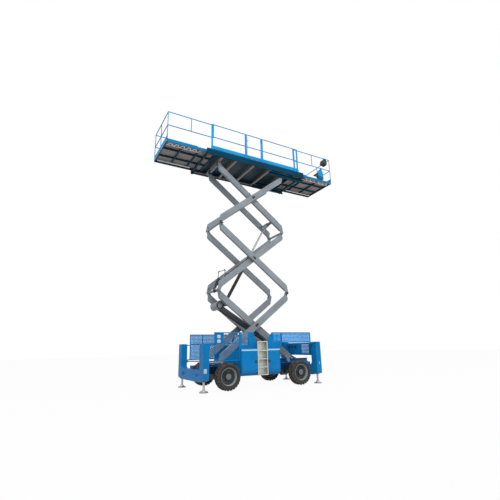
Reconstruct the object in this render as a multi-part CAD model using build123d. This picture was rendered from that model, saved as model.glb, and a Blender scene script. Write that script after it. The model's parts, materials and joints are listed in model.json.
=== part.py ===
from build123d import *
import math
import os

# Scissor lift with rough-terrain wheels, drive chassis, four outriggers, three stages of
# crossed arms and a deck with a sliding extension at each end. Millimetres, +Z up.
# The chassis is drawn about the middle of its wheelbase. Each solid is then moved along X
# so that the origin lies on the ground under the middle of the whole machine, deck included.

os.makedirs("parts", exist_ok=True)

# ---- driving dimensions -------------------------------------------------------------
wheelbase = 2860
tyre_diameter = 850
tyre_width = 300
overall_width = 2290
rim_diameter = 560
ground_to_rail = 500          # underside of the two chassis rails
rail_height = 240
rail_inner_y = 340
rail_outer_y = 540

arm_pitch = 3756              # end pin to end pin along one arm
arm_depth = 220
arm_thickness = 100
parked_angle = 41.3           # arms above the level, as it stands
raised_angle = 52.7           # of an arm when the deck is at its highest
stages = 3
foot_x = -1500                # the pivots of the rear ends stand above one another here
foot_z = 815
inner_arm_y = 420             # inboard face of the inner arms
arm_gap = 30                  # between inner and outer arms
pin_radius = 30
tube_radius = 45
hub_radius = 55
centre_pin_radius = 35
bore_clearance = 0.3
seat_clearance = 0.3
pin_to_arm_edge = 15          # end pin's axis beyond the edge of the arm
lug_thickness = 45

axle_to_tower = 700           # from a wheel's axle to the outrigger tower beyond it
tower_length = 210
tower_width = 295
tower_bottom = 360
tower_top = 1450
beam_bottom = 300
beam_top = 650
leg_radius = 35
leg_clearance = 0.5
pad_radius = 140
pad_thickness = 40
pad_from_tower = 110          # leg's axis beyond the tower's inner face
pad_y = 990

deck_above_pins = 286         # deck surface above the top pins
deck_back = -2170
deck_front = 2330
deck_half_width = 900
deck_plate = 35
extension_back = -3720
extension_front = 3970
extension_half_width = 830
extension_overlap = 400
guard_rail_height = 1070
mid_rail_height = 520
rail_tube = 34
toe_board_height = 150
flat_post = 60                # width of the main rails' posts along the deck
stringer_y = 280              # lengthwise bars under the sliding decks
toe_board_thickness = 12

panel_y = 1000                # guard panels beside the arms
panel_thickness = 30
panel_bottom = 900
panel_top = 1800
panel_split = 1440
mesh_thickness = 6

box_back = -970
box_front = 550
box_inner_y = 700
box_outer_y = 1100
box_bottom = 410
box_top = 1280
box_wall = 12
door_thickness = 20
door_gap = 8
hinge_pin_radius = 6
hinge_pin_reach = 14           # into the box, above and below the door
door_ledge = 40
ladder_back = -350
ladder_front = 50
ladder_bottom = 410
ladder_top = 1500

running_gap = 5               # between moving pieces that only pass each other

# ---- sizes that follow ----------------------------------------------------------------
half_span = arm_pitch * math.cos(math.radians(parked_angle)) / 2
stage_height = arm_pitch * math.sin(math.radians(parked_angle))
pin_offset = arm_depth / 2 + pin_to_arm_edge
tilt_in_arm = math.degrees(math.asin(pin_offset / (arm_pitch / 2)))
tube_angle = parked_angle - tilt_in_arm
half_run = math.sqrt((arm_pitch / 2) ** 2 - pin_offset ** 2)
outer_arm_y = inner_arm_y + arm_thickness + arm_gap
centre_x = foot_x + half_span
tip_x = foot_x + 2 * half_span
top_z = foot_z + stages * stage_height
deck_z = top_z + deck_above_pins
rail_top = ground_to_rail + rail_height
wheel_x = wheelbase / 2
tower_x = wheel_x + axle_to_tower
pad_x = tower_x + pad_from_tower
axle_z = tyre_diameter / 2
wheel_outer_y = overall_width / 2
wheel_inner_y = wheel_outer_y - tyre_width
tower_end = tower_x + tower_length
tower_outer_y = wheel_outer_y
tower_inner_y = tower_outer_y - tower_width
machine_mid_x = (extension_back + extension_front) / 2

NEAR = -1
FAR = 1
SIDES = (("near", NEAR), ("far", FAR))


# ---- helpers --------------------------------------------------------------------------
def block(x0, x1, y0, y1, z0, z1):
    """A box between two corners, given in any order."""
    size = (abs(x1 - x0), abs(y1 - y0), abs(z1 - z0))
    return Pos((x0 + x1) / 2, (y0 + y1) / 2, (z0 + z1) / 2) * Box(*size)


def bar_y(x, z, radius, y0, y1):
    """A round bar along Y."""
    return Pos(x, (y0 + y1) / 2, z) * Rot(90, 0, 0) * Cylinder(radius, abs(y1 - y0))


def bar_x(y, z, radius, x0, x1):
    """A round bar along X."""
    return Pos((x0 + x1) / 2, y, z) * Rot(0, 90, 0) * Cylinder(radius, abs(x1 - x0))


def bar_z(x, y, radius, z0, z1):
    """A round bar along Z."""
    return Pos(x, y, (z0 + z1) / 2) * Cylinder(radius, abs(z1 - z0))


def slab(points, y0, y1):
    """An outline in X and Z carried along Y."""
    low = min(y0, y1)
    high = max(y0, y1)
    face = Plane(origin=(0, low, 0), x_dir=(1, 0, 0), z_dir=(0, -1, 0)) * make_face(
        Polyline(*points, close=True))
    return extrude(face, amount=-(high - low))


def plate_x(points, x0, x1):
    """An outline in Y and Z carried along X."""
    low = min(x0, x1)
    high = max(x0, x1)
    face = Plane(origin=(low, 0, 0), x_dir=(0, 1, 0), z_dir=(1, 0, 0)) * make_face(
        Polyline(*points, close=True))
    return extrude(face, amount=high - low)


def flip(shape):
    """The same piece on the other side of the machine."""
    return mirror(shape, about=Plane.XZ)


def on_side(shape, side):
    """A piece drawn at +Y, on the side that is asked for."""
    return shape if side == FAR else flip(shape)


def joined(pieces):
    """Pieces welded into one."""
    total = pieces[0]
    for piece in pieces[1:]:
        total = total + piece
    return total


def save(name, *pieces):
    """Writes a node: its solids, moved so that the origin is under the machine's middle."""
    solids = [solid for piece in pieces for solid in piece.solids()]
    moved = [Pos(-machine_mid_x, 0, 0) * solid for solid in solids]
    export_step(Compound(label=name, children=moved), "parts/" + name + ".step")


def both(piece):
    """A piece drawn at +Y and its mirror image."""
    return [piece, flip(piece)]


# ---- scissor arms ---------------------------------------------------------------------
tube_end = 110                # arm section stops this far before the end pin
lug_root = 160
chamfer_run = 190
chamfer_nose = 42


def arm_section(y0, y1):
    """An arm's rectangular section, its outer corners cut off; level, about its centre."""
    slope = (pin_offset - 40 + arm_depth / 2) / (chamfer_run + chamfer_nose)
    cut_z = -arm_depth / 2 + slope * (chamfer_run - tube_end)
    edge = arm_depth / 2
    end = half_run - tube_end
    corner = half_run - chamfer_run
    upper = [(corner, -edge), (end, cut_z), (end, edge)]
    points = upper + [(-x, -z) for x, z in upper]
    return slab(points, y0, y1)


def arm_lug(y0, y1):
    """The plates and hub at an arm's upper end; level, about the arm's centre."""
    edge = arm_depth / 2
    root = half_run - lug_root
    slope = (pin_offset - 40 + edge) / (chamfer_run + chamfer_nose)
    points = [
        (root, slope * (chamfer_run - lug_root) - edge),
        (half_run + chamfer_nose, pin_offset - 40),
        (half_run + 20, pin_offset + 45),
        (half_run - 40, pin_offset + 35),
        (half_run - lug_root + 20, edge),
        (root, edge),
    ]
    return slab(points, y0, y1) + bar_y(half_run, pin_offset, hub_radius, y0, y1)


def level_arm(y_base, low_lug, high_lug, pins, bores):
    """One arm, level. Lugs are (start, end) beyond y_base; pins and bores are
    (place, radius, start, end), where place is -1, 0 or 1 for low end, centre, high end."""
    shape = arm_section(y_base, y_base + arm_thickness)
    shape += arm_lug(y_base + high_lug[0], y_base + high_lug[1])
    low = arm_lug(y_base + low_lug[0], y_base + low_lug[1])
    shape += Rot(0, 180, 0) * low
    for place, radius, start, end in bores:
        shape -= bar_y(place * half_run, place * pin_offset, radius, start, end)
    for place, radius, start, end in pins:
        shape += bar_y(place * half_run, place * pin_offset, radius, start, end)
    return shape


def placed_arm(shape, stage, rising):
    """A level arm turned to its slope and moved to its stage. Rising means up to the front."""
    z = foot_z + (stage - 0.5) * stage_height
    turned = Rot(0, -tube_angle, 0) * shape
    if not rising:
        turned = mirror(turned, about=Plane.YZ)
    return Pos(centre_x, 0, z) * turned


WHOLE = (0, arm_thickness)
INBOARD = (0, lug_thickness)
OUTBOARD = (arm_thickness - lug_thickness, arm_thickness)
fit_bore = pin_radius + bore_clearance
inner_face = inner_arm_y
inner_back = inner_arm_y + arm_thickness
outer_face = outer_arm_y
outer_back = outer_arm_y + arm_thickness
roller_radius = 50
roller_width = 50
track_gap = 10
foot_roller_y = inner_face - track_gap - roller_width
deck_roller_y = outer_back + track_gap
foot_plate_y = outer_back + track_gap
foot_plate = 40
hanger_plate = 40
hanger_y = inner_face - track_gap - hanger_plate
hanger_gap = 10               # from a deck hanger to the end of the cross tube

# outer arms hold the centre pin, inner arms have the bore for it
centre_bore = (0, centre_pin_radius + bore_clearance, inner_face - 1, inner_back + 1)
centre_stub = (0, centre_pin_radius, inner_face + 5, outer_face + 20)

ARMS = (
    # node, stage, rising, inner plane, low lug, high lug, pins, bores
    ("stage1_outer", 1, True, False, WHOLE, INBOARD,
     [centre_stub, (1, pin_radius, outer_face + 2, outer_back + 8),
      (-1, pin_radius, outer_face + 2, foot_plate_y + foot_plate)], []),
    ("stage1_inner", 1, False, True, WHOLE, INBOARD,
     [(1, pin_radius, inner_face + 2, inner_back + 8),
      (-1, roller_radius, foot_roller_y, foot_roller_y + roller_width),
      (-1, pin_radius, foot_roller_y + 2, inner_back - 2)], [centre_bore]),
    ("stage2_outer", 2, False, False, OUTBOARD, INBOARD,
     [centre_stub, (1, pin_radius, outer_face + 2, outer_back + 8)],
     [(-1, fit_bore, outer_face - 1, outer_back + 1)]),
    ("stage2_inner", 2, True, True, OUTBOARD, INBOARD,
     [(1, pin_radius, inner_face + 2, inner_back + 8)],
     [centre_bore, (-1, fit_bore, inner_face - 1, inner_back + 1)]),
    ("stage3_outer", 3, True, False, OUTBOARD, WHOLE,
     [centre_stub, (1, roller_radius, deck_roller_y, deck_roller_y + roller_width),
      (1, pin_radius, outer_back - 2, deck_roller_y + roller_width - 2)],
     [(-1, fit_bore, outer_face - 1, outer_back + 1)]),
    ("stage3_inner", 3, False, True, OUTBOARD, WHOLE,
     [(1, pin_radius, hanger_y - hanger_gap, inner_back - 2)],
     [centre_bore, (-1, fit_bore, inner_face - 1, inner_back + 1)]),
)


def pin_point(stage_line, rear):
    """X and Z of the pin between stages: line 0 is at the chassis, 3 at the deck."""
    return (foot_x if rear else tip_x), foot_z + stage_line * stage_height


def cross_tube(stage_line, rear, half_length):
    """A round tube across the machine on a pin's axis."""
    x, z = pin_point(stage_line, rear)
    return bar_y(x, z, tube_radius, -half_length + seat_clearance, half_length - seat_clearance)


def along_arm(stage, rising, from_rear, run, rise):
    """A point on an arm's body: run along the line of pins from one end, rise square to it."""
    angle = math.radians(parked_angle if rising else -parked_angle)
    middle_z = foot_z + (stage - 0.5) * stage_height
    direction = (math.cos(angle), math.sin(angle))
    square = (-math.sin(angle), math.cos(angle))
    end = -arm_pitch / 2 if from_rear else arm_pitch / 2
    along = end + run if from_rear else end - run
    return (centre_x + direction[0] * along + square[0] * rise,
            middle_z + direction[1] * along + square[1] * rise)


TUBES = {
    "stage1_outer": [cross_tube(0, True, outer_face)],
    "stage1_inner": [cross_tube(1, True, inner_face)],
    "stage2_outer": [cross_tube(2, True, outer_face)],
    "stage2_inner": [cross_tube(2, False, inner_face)],
    "stage3_outer": [cross_tube(3, False, outer_face)],
    "stage3_inner": [cross_tube(3, True, hanger_y - hanger_gap)],
}

# ---- lift cylinders -------------------------------------------------------------------
lower_base_x = tower_x - 130   # lower rods' pins, behind the front tower's inner face
lower_base_z = 790
lower_spacing = 125           # centre line of each lower cylinder from the middle
lower_barrel_radius = 75
lower_rod_radius = 45
lower_barrel_length = 2350
lower_eye_width = 96
upper_barrel_radius = 62
upper_rod_radius = 38
upper_barrel_length = 2050
upper_eye_width = 100
eye_radius = 68
eye_neck = 120                # from a base eye's pin to the start of the barrel
gland_length = 60
rod_hidden = 480              # rod still inside the barrel, as it stands
bracket_plate = 22
bracket_gap = 6
bracket_tube_radius = 60

lower_eye_point = along_arm(1, False, True, 466, -303)
upper_base_point = along_arm(1, False, True, 600, 105)
upper_eye_point = along_arm(3, False, False, 585, -122)


def leaning(points, start, end, y):
    """Moves a piece drawn along +X from the origin to the line from start to end."""
    angle = math.degrees(math.atan2(end[1] - start[1], end[0] - start[0]))
    return Pos(start[0], y, start[1]) * Rot(0, -angle, 0) * points


def barrel(radius, length, rod_radius, eye_width):
    """A barrel along +X from its base eye, bored for the rod, closed at its base."""
    shape = bar_x(0, 0, radius, eye_neck, length)
    shape += block(0, eye_neck + 5, -eye_width / 2, eye_width / 2, -eye_radius * 0.7, eye_radius * 0.7)
    shape += bar_x(0, 0, radius + 10, length - gland_length, length)
    shape += bar_y(0, 0, eye_radius, -eye_width / 2, eye_width / 2)
    shape -= bar_y(0, 0, pin_radius + bore_clearance, -eye_width, eye_width)
    shape -= bar_x(0, 0, rod_radius + bore_clearance, length - gland_length - 1, length + 1)
    return shape - bar_x(0, 0, radius - 14, eye_neck + 30, length - gland_length)


def rod(length_to_eye, barrel_length, radius, barrel_radius, eye_width):
    """A rod along +X, its inner end inside the barrel and its eye at length_to_eye."""
    inner = barrel_length - rod_hidden
    shape = bar_x(0, 0, radius, inner, length_to_eye - eye_radius * 0.6)
    shape += bar_x(0, 0, barrel_radius - 16, inner, inner + 60)
    shape += bar_y(length_to_eye, 0, eye_radius, -eye_width / 2, eye_width / 2)
    return shape


def distance(start, end):
    return math.hypot(end[0] - start[0], end[1] - start[1])


lower_start = (lower_base_x, lower_base_z)
lower_length = distance(lower_start, lower_eye_point)
upper_length = distance(upper_base_point, upper_eye_point)


def bracket(point, stage, rising, from_rear, run, plates, half_width, split=False):
    """A tube across between the inner arms with plates that reach a cylinder's pin.
    A split tube leaves the middle free, where the rod's eye sits between the plates."""
    rise = -pin_offset * (1 - run / (arm_pitch / 2))
    if not rising:
        rise = rise if from_rear else -rise
    tube = along_arm(stage, rising, from_rear, run, rise)
    if split:
        inside = max(plates) - bracket_plate / 2
        shape = bar_y(tube[0], tube[1], bracket_tube_radius, inside, half_width)
        shape += bar_y(tube[0], tube[1], bracket_tube_radius, -half_width, -inside)
    else:
        shape = bar_y(tube[0], tube[1], bracket_tube_radius, -half_width, half_width)
    angle = math.degrees(math.atan2(point[1] - tube[1], point[0] - tube[0]))
    reach = distance(tube, point)
    for y in plates:
        outline = [(0, -85), (reach, -62), (reach + 62, -30), (reach + 62, 30), (reach, 62), (0, 85)]
        plate = slab(outline, -bracket_plate / 2, bracket_plate / 2)
        shape += Pos(tube[0], y, tube[1]) * Rot(0, -angle, 0) * plate
    return shape


lower_plate_out = lower_eye_width / 2 + bracket_gap + bracket_plate / 2
lower_plates = [side * (lower_spacing + step * lower_plate_out) for side in (-1, 1) for step in (-1, 1)]
upper_plate_out = upper_eye_width / 2 + bracket_gap + bracket_plate / 2
upper_plates = [-upper_plate_out, upper_plate_out]
bracket_half = inner_face - seat_clearance
lower_bracket = bracket(lower_eye_point, 1, False, True, 466, lower_plates, bracket_half)
for side in (NEAR, FAR):
    lower_bracket += bar_y(lower_eye_point[0], lower_eye_point[1], pin_radius,
                           side * (lower_spacing - lower_plate_out - 15),
                           side * (lower_spacing + lower_plate_out + 15))
upper_base_bracket = bracket(upper_base_point, 1, False, True, 640, upper_plates, bracket_half)
upper_base_bracket += bar_y(upper_base_point[0], upper_base_point[1], pin_radius,
                            -upper_plate_out - 15, upper_plate_out + 15)
TUBES["stage1_inner"] += [lower_bracket, upper_base_bracket]
TUBES["stage3_inner"].append(
    bracket(upper_eye_point, 3, False, False, 585, upper_plates, bracket_half, split=True))

for name, stage, rising, inner, low_lug, high_lug, pins, bores in ARMS:
    base = inner_face if inner else outer_face
    arm = placed_arm(level_arm(base, low_lug, high_lug, pins, bores), stage, rising)
    save(name + "_arms", arm, flip(arm), *TUBES[name])

for name, shape_of in (("barrel", barrel), ("rod", rod)):
    if name == "barrel":
        lower = shape_of(lower_barrel_radius, lower_barrel_length, lower_rod_radius, lower_eye_width)
        upper = shape_of(upper_barrel_radius, upper_barrel_length, upper_rod_radius, upper_eye_width)
    else:
        lower = shape_of(lower_length, lower_barrel_length, lower_rod_radius,
                         lower_barrel_radius, lower_eye_width)
        upper = shape_of(upper_length, upper_barrel_length, upper_rod_radius,
                         upper_barrel_radius, upper_eye_width)
    placed = leaning(lower, lower_eye_point, lower_start, lower_spacing)
    save("lower_cylinder_" + name + "s", placed, flip(placed))
    save("upper_cylinder_" + name, leaning(upper, upper_base_point, upper_eye_point, 0))

# ---- chassis --------------------------------------------------------------------------
rail_end = tower_x
cross_member_top = 570
frame = block(-rail_end, rail_end, rail_inner_y, rail_outer_y, ground_to_rail, rail_top)
frame += block(tower_x, tower_end - 30, rail_inner_y, rail_outer_y, beam_top, rail_top)
rails = frame + flip(frame)
front_member_back = 35        # from a tower's inner face to the middle of the cross member by it
rear_member_back = 180
CROSS_MEMBERS = (
    # middle, length
    (-tower_x + rear_member_back, 200),
    (-900, 120),
    (200, 120),
    (wheel_x - 220, 120),
    (tower_x - front_member_back, 70),
)
for x, length in CROSS_MEMBERS:
    rails += block(x - length / 2, x + length / 2, -rail_inner_y, rail_inner_y,
                   ground_to_rail, cross_member_top)
for x in (-800, 380):
    for side in (NEAR, FAR):
        rails += block(x - 60, x + 60, side * rail_outer_y, side * box_inner_y,
                       ground_to_rail + 20, rail_top - 20)
# ears on the front cross member, either side of each lower rod's eye
ear_back = tower_x - 65
ear_front = tower_x - 5
for y in lower_plates:
    rails += slab([(ear_back, ground_to_rail + 20), (ear_front, ground_to_rail + 20),
                   (ear_front, lower_base_z - 60),
                   (lower_base_x + 55, lower_base_z + 50), (lower_base_x - 50, lower_base_z + 50),
                   (lower_base_x - 50, lower_base_z - 50)],
                  y - bracket_plate / 2, y + bracket_plate / 2)
save("chassis_frame", rails)

# pivot plates at the fixed feet, and the tracks that the sliding feet run in
foot_mount = block(foot_x - 130, foot_x + 130, rail_outer_y, foot_plate_y + foot_plate,
                   ground_to_rail + 60, rail_top)
foot_mount += slab([(foot_x - 110, rail_top - 1), (foot_x + 110, rail_top - 1),
                    (foot_x + 60, foot_z + 55), (foot_x - 60, foot_z + 55)],
                   foot_plate_y, foot_plate_y + foot_plate)
foot_mount -= bar_y(foot_x, foot_z, fit_bore, foot_plate_y - 1, foot_plate_y + foot_plate + 1)
track_end = 90                # past the roller when the arms are highest
track_x0 = foot_x + arm_pitch * math.cos(math.radians(raised_angle)) - track_end
track_x1 = tower_end - 30
track_flange = 10
track_web = 12


def channel(x0, x1, z, web_y0, web_y1, flange_y):
    """A C section along X round a roller, its web on one side and open on the other."""
    inside = roller_radius + 2
    web = block(x0, x1, web_y0, web_y1, z - inside - track_flange, z + inside + track_flange)
    low = block(x0, x1, web_y0, flange_y, z - inside - track_flange, z - inside)
    high = block(x0, x1, web_y0, flange_y, z + inside, z + inside + track_flange)
    return web + low + high


track_web_y = foot_roller_y - 3 - track_web
foot_track = channel(track_x0, track_x1, foot_z, track_web_y, track_web_y + track_web,
                     inner_face - 8)
foot_track += block(track_x0, track_x1, rail_inner_y, inner_face - 8, rail_top,
                    foot_z - roller_radius - 2 - track_flange + 1)
save("scissor_mounts", *both(foot_mount), *both(foot_track))

# outrigger frames: two towers on a cross beam, rounded where they meet
leg_hole = leg_radius + leg_clearance
beam_fillet = 120
lash_y = 620                  # lashing eyes on the beam's outer face
lash_z = 500
lash_plate = 30
lash_hole = 18


def outrigger_frame(front):
    """A U of two towers and the beam between them, with a boss for each leg."""
    half = tower_outer_y
    outline = [(-half, tower_top), (-tower_inner_y, tower_top), (-tower_inner_y, beam_top),
               (tower_inner_y, beam_top), (tower_inner_y, tower_top), (half, tower_top),
               (half, tower_bottom), (tower_inner_y, beam_bottom),
               (-tower_inner_y, beam_bottom), (-half, tower_bottom)]
    shape = plate_x(outline, tower_x, tower_end)
    inner = [e for e in shape.edges().filter_by(Axis.X)
             if abs(abs(e.center().Y) - tower_inner_y) < 1 and abs(e.center().Z - beam_top) < 1]
    shape = fillet(inner, beam_fillet)
    for side in (NEAR, FAR):
        shape -= bar_z(pad_x, side * pad_y, leg_hole, 0, tower_top - 60)
        lug = slab([(tower_end - 5, lash_z - 60), (tower_end + 20, lash_z - 40),
                    (tower_end + 62, lash_z - 25), (tower_end + 62, lash_z + 25),
                    (tower_end + 20, lash_z + 40), (tower_end - 5, lash_z + 60)],
                   lash_y - lash_plate / 2, lash_y + lash_plate / 2)
        lug -= bar_y(tower_end + 32, lash_z, lash_hole, lash_y - lash_plate, lash_y + lash_plate)
        shape += on_side(lug, side)
    if front:
        wall = block(tower_end - 18, tower_end, -tower_inner_y, tower_inner_y, 970, 1435)
        wall -= block(tower_end - 30, tower_end + 10, -490, -20, 1030, 1390)
        for y in (780, 570, 360):
            wall -= bar_x(y, 1290, 50, tower_end - 30, tower_end + 10)
        shape += wall
        return shape
    return mirror(shape, about=Plane.YZ)


save("front_outrigger_frame", outrigger_frame(True))
save("rear_outrigger_frame", outrigger_frame(False))

for end_name, end in (("front", 1), ("rear", -1)):
    for side_name, side in SIDES:
        leg = bar_z(end * pad_x, side * pad_y, leg_radius, pad_thickness - 5, 1150)
        leg += bar_z(end * pad_x, side * pad_y, 60, pad_thickness - 5, pad_thickness + 45)
        pad = bar_z(end * pad_x, side * pad_y, pad_radius, 0, pad_thickness)
        pad = chamfer(pad.edges().group_by(Axis.Z)[-1], 15)
        save("outrigger_leg_" + end_name + "_" + side_name, leg + pad)

# ---- axles, knuckles and wheels ----------------------------------------------------------
axle_top = ground_to_rail
axle_bottom = 355
kingpin_y = 740
kingpin_radius = 28
spindle_radius = 45
rear_axle = block(-wheel_x - 65, -wheel_x + 65, -kingpin_y + 60, kingpin_y - 60, axle_bottom, axle_top)
rear_axle += bar_x(0, axle_z, 150, -wheel_x - 120, -wheel_x + 120)
for side in (NEAR, FAR):
    rear_axle += bar_y(-wheel_x, axle_z, 110, side * (kingpin_y - 70), side * (wheel_inner_y - 25))
    rear_axle += bar_y(-wheel_x, axle_z, spindle_radius, side * (kingpin_y - 70), side * 1010)
save("rear_axle", rear_axle)

boss_radius = 58
boss_bottom = 372
boss_top = 478
front_axle = block(wheel_x - 65, wheel_x + 65, -kingpin_y + 120, kingpin_y - 120, axle_bottom, axle_top)
front_axle += bar_x(0, axle_z, 150, wheel_x - 120, wheel_x + 120)
for side in (NEAR, FAR):
    front_axle += block(wheel_x - 50, wheel_x + 50, side * (kingpin_y - 125), side * (kingpin_y - 20),
                        boss_bottom, boss_top)
    front_axle += bar_z(wheel_x, side * kingpin_y, boss_radius, boss_bottom, boss_top)
    front_axle -= bar_z(wheel_x, side * kingpin_y, kingpin_radius + bore_clearance, 300, 600)
save("front_axle", front_axle)

for side_name, side in SIDES:
    pin = bar_z(wheel_x, kingpin_y, kingpin_radius, 326, 524)
    yoke = bar_z(wheel_x, kingpin_y, boss_radius, 326, boss_bottom - running_gap)
    yoke += bar_z(wheel_x, kingpin_y, boss_radius, boss_top + running_gap, 524)
    for z0, z1 in ((326, boss_bottom - running_gap), (boss_top + running_gap, 524)):
        yoke += block(wheel_x - 55, wheel_x + 55, kingpin_y, kingpin_y + 90, z0, z1)
    yoke += block(wheel_x - 55, wheel_x + 55, kingpin_y + boss_radius + 7, kingpin_y + 95, 326, 524)
    yoke += bar_y(wheel_x, axle_z, spindle_radius, kingpin_y + boss_radius + 10, 1010)
    # steering arm behind the yoke
    yoke += block(wheel_x - 200, wheel_x - 40, kingpin_y - 25, kingpin_y + 25, 326, 350)
    save("steering_knuckle_" + side_name, on_side(yoke + pin, side))

rim_radius = rim_diameter / 2
disc_y = 985                  # wheel disc, from the machine's middle
disc_thickness = 20


def revolve_wheel(points, x, side):
    """A closed profile of radius and |y| turned about the axle line."""
    face = Plane.XY * make_face(Polyline(*[(r, y) for r, y in points], close=True))
    body = revolve(face, Axis.Y)
    return Pos(x, 0, axle_z) * on_side(body, side)


def tyre_profile():
    """Radius against |y|: a round-shouldered tyre with open bead."""
    outer = tyre_diameter / 2
    y0 = wheel_inner_y
    y1 = wheel_outer_y
    return [(rim_radius, y0 + 35), (rim_radius + 40, y0 + 8), (outer - 70, y0), (outer - 18, y0 + 25),
            (outer, y0 + 60), (outer, y1 - 60), (outer - 18, y1 - 25), (outer - 70, y1),
            (rim_radius + 40, y1 - 8), (rim_radius, y1 - 35)]


def rim_profile():
    """Barrel, flanges, dished disc and hub of a wheel."""
    y0 = wheel_inner_y + 35
    y1 = wheel_outer_y - 35
    bore = spindle_radius + bore_clearance
    return [(bore, disc_y - 15), (150, disc_y - 15), (165, disc_y),
            (rim_radius - 30, disc_y), (rim_radius - 30, y0 + 20), (rim_radius - 14, y0 - 6),
            (rim_radius, y0), (rim_radius, y1), (rim_radius - 14, y1 + 6),
            (rim_radius - 30, y1 - 30), (rim_radius - 45, disc_y + disc_thickness),
            (165, disc_y + disc_thickness), (150, disc_y + 15), (100, disc_y + 15),
            (95, 1075), (60, 1085), (0, 1085), (0, 1012), (bore, 1012)]


for end_name, end in (("front", 1), ("rear", -1)):
    for side_name, side in SIDES:
        tag = end_name + "_" + side_name
        save("tyre_" + tag, revolve_wheel(tyre_profile(), end * wheel_x, side))
        save("rim_" + tag, revolve_wheel(rim_profile(), end * wheel_x, side))

# ---- side boxes, doors, ladder and engine ------------------------------------------------
slant = 110


def box_shell(x0, x1):
    """An open-fronted box at +Y with a slanted underside, and room inside."""
    def outline(inset):
        low = box_bottom + inset
        return [(box_inner_y + inset, low), (box_outer_y - slant, low),
                (box_outer_y - (inset if inset == 0 else -1), low + slant),
                (box_outer_y - (inset if inset == 0 else -1), box_top - inset),
                (box_inner_y + inset, box_top - inset)]
    shell = plate_x(outline(0), x0, x1)
    inside = plate_x(outline(box_wall), x0 + box_wall, x1 - box_wall)
    ledges = []
    for z0, z1 in ((box_bottom + slant, box_bottom + slant + door_ledge),
                   (box_top - box_wall - door_ledge / 2, box_top - box_wall + 1)):
        ledges.append(block(x0 + box_wall - 1, x1 - box_wall + 1, box_outer_y - door_thickness,
                            box_outer_y, z0, z1))
    return joined([shell - inside] + ledges)


door_z0 = box_bottom + slant + door_ledge + door_gap
door_z1 = box_top - box_wall - door_ledge / 2 - door_gap


def hinge_line(x0, x1, rear):
    """X and |y| of a door's pin: at its outer upright edge, in the middle of its thickness."""
    edge = box_wall + door_gap + door_thickness / 2
    return (x0 + edge if rear else x1 - edge), box_outer_y - door_thickness / 2


def hinge_pin(x0, x1, rear, radius, extra):
    """The pin on the hinge line, or the hole for it when it has some extra radius."""
    x, y = hinge_line(x0, x1, rear)
    reach = hinge_pin_reach + extra
    return bar_z(x, y, radius + extra, door_z0 - reach, door_z1 + reach)


def door_plate(x0, x1, rear):
    """A door in the box's opening, flush with its face, with a pin at top and bottom."""
    plate = block(x0 + box_wall + door_gap, x1 - box_wall - door_gap,
                  box_outer_y - door_thickness, box_outer_y, door_z0, door_z1)
    return plate + hinge_pin(x0, x1, rear, hinge_pin_radius, 0)


box_split = -210
BOXES = (
    # side name, part of the box, x0, x1
    ("near", "rear", box_back, ladder_back),
    ("near", "front", ladder_front, box_front),
    ("far", "rear", box_back, box_split),
    ("far", "front", box_split + seat_clearance, box_front),
)
for side_name, side in SIDES:
    shells = []
    for owner, part, x0, x1 in BOXES:
        if owner != side_name:
            continue
        rear = part == "rear"
        shell = box_shell(x0, x1) - hinge_pin(x0, x1, rear, hinge_pin_radius, bore_clearance)
        shells.append(on_side(shell, side))
        save("door_" + part + "_" + side_name, on_side(door_plate(x0, x1, rear), side))
    save("service_box_" + side_name, *shells)

rung_zs = (680, 940, 1210, ladder_top)
ladder_y = box_outer_y
stile = 30
ladder_parts = [block(ladder_back + seat_clearance, ladder_back + stile, -ladder_y, -ladder_y + 150,
                      ladder_bottom, ladder_top),
                block(ladder_front - stile, ladder_front - seat_clearance, -ladder_y, -ladder_y + 150,
                      ladder_bottom, ladder_top),
                block(ladder_back + 5, ladder_front - 5, -ladder_y + 138, -ladder_y + 150,
                      ladder_bottom, ladder_top)]
for z in rung_zs + (ladder_bottom + 30,):
    ladder_parts.append(block(ladder_back + 5, ladder_front - 5, -ladder_y, -ladder_y + 139, z - 30, z))
save("entry_ladder", joined(ladder_parts))

save("engine_block", block(-900, -280, box_inner_y + box_wall, box_outer_y - 70, 560, 1100))

# ---- guard panels ------------------------------------------------------------------------
bar = 30
near_panel_gap = 230          # from the rear tower's inner face to the near panel frame
far_panel_gap = 150
front_panel_gap = 120         # from the front panel frames to the front tower's inner face


def panel_frame(x0, x1, z0, z1, posts, mids):
    """A frame of square bars at +Y, with posts at given X and rails at given Z."""
    y0 = panel_y - panel_thickness / 2
    y1 = panel_y + panel_thickness / 2
    shape = block(x0, x1, y0, y1, z0, z0 + bar)
    shape += block(x0, x1, y0, y1, z1 - bar, z1)
    for x in (x0, x1 - bar) + posts:
        shape += block(x, x + bar, y0, y1, z0, z1)
    for z in mids:
        shape += block(x0, x1, y0, y1, z, z + bar)
    return shape


def mesh_sheet(x0, x1, z0, z1):
    """A thin sheet in a frame's window, where the wires of the mesh are."""
    gap = 0.3
    return block(x0 + gap, x1 - gap, panel_y - mesh_thickness / 2, panel_y + mesh_thickness / 2,
                 z0 + gap, z1 - gap)


PANELS = {
    # side: rear panel and front panel, as x0, x1, z0, z1, posts, mid rails
    "near": ((near_panel_gap - tower_x, box_back - 1, panel_bottom, panel_top, (), (panel_split,)),
             (box_front + 150, tower_x - front_panel_gap, panel_split, panel_top, (), ())),
    "far": ((far_panel_gap - tower_x, box_back - 1, panel_bottom, panel_top, (-1500,), (panel_split,)),
            (box_front + 1, tower_x - front_panel_gap, panel_bottom, panel_top, (1280,), (panel_split,))),
}
# plates above the boxes, beside the ladder's opening
upper_back = box_back
upper_front = box_front + 150


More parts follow.
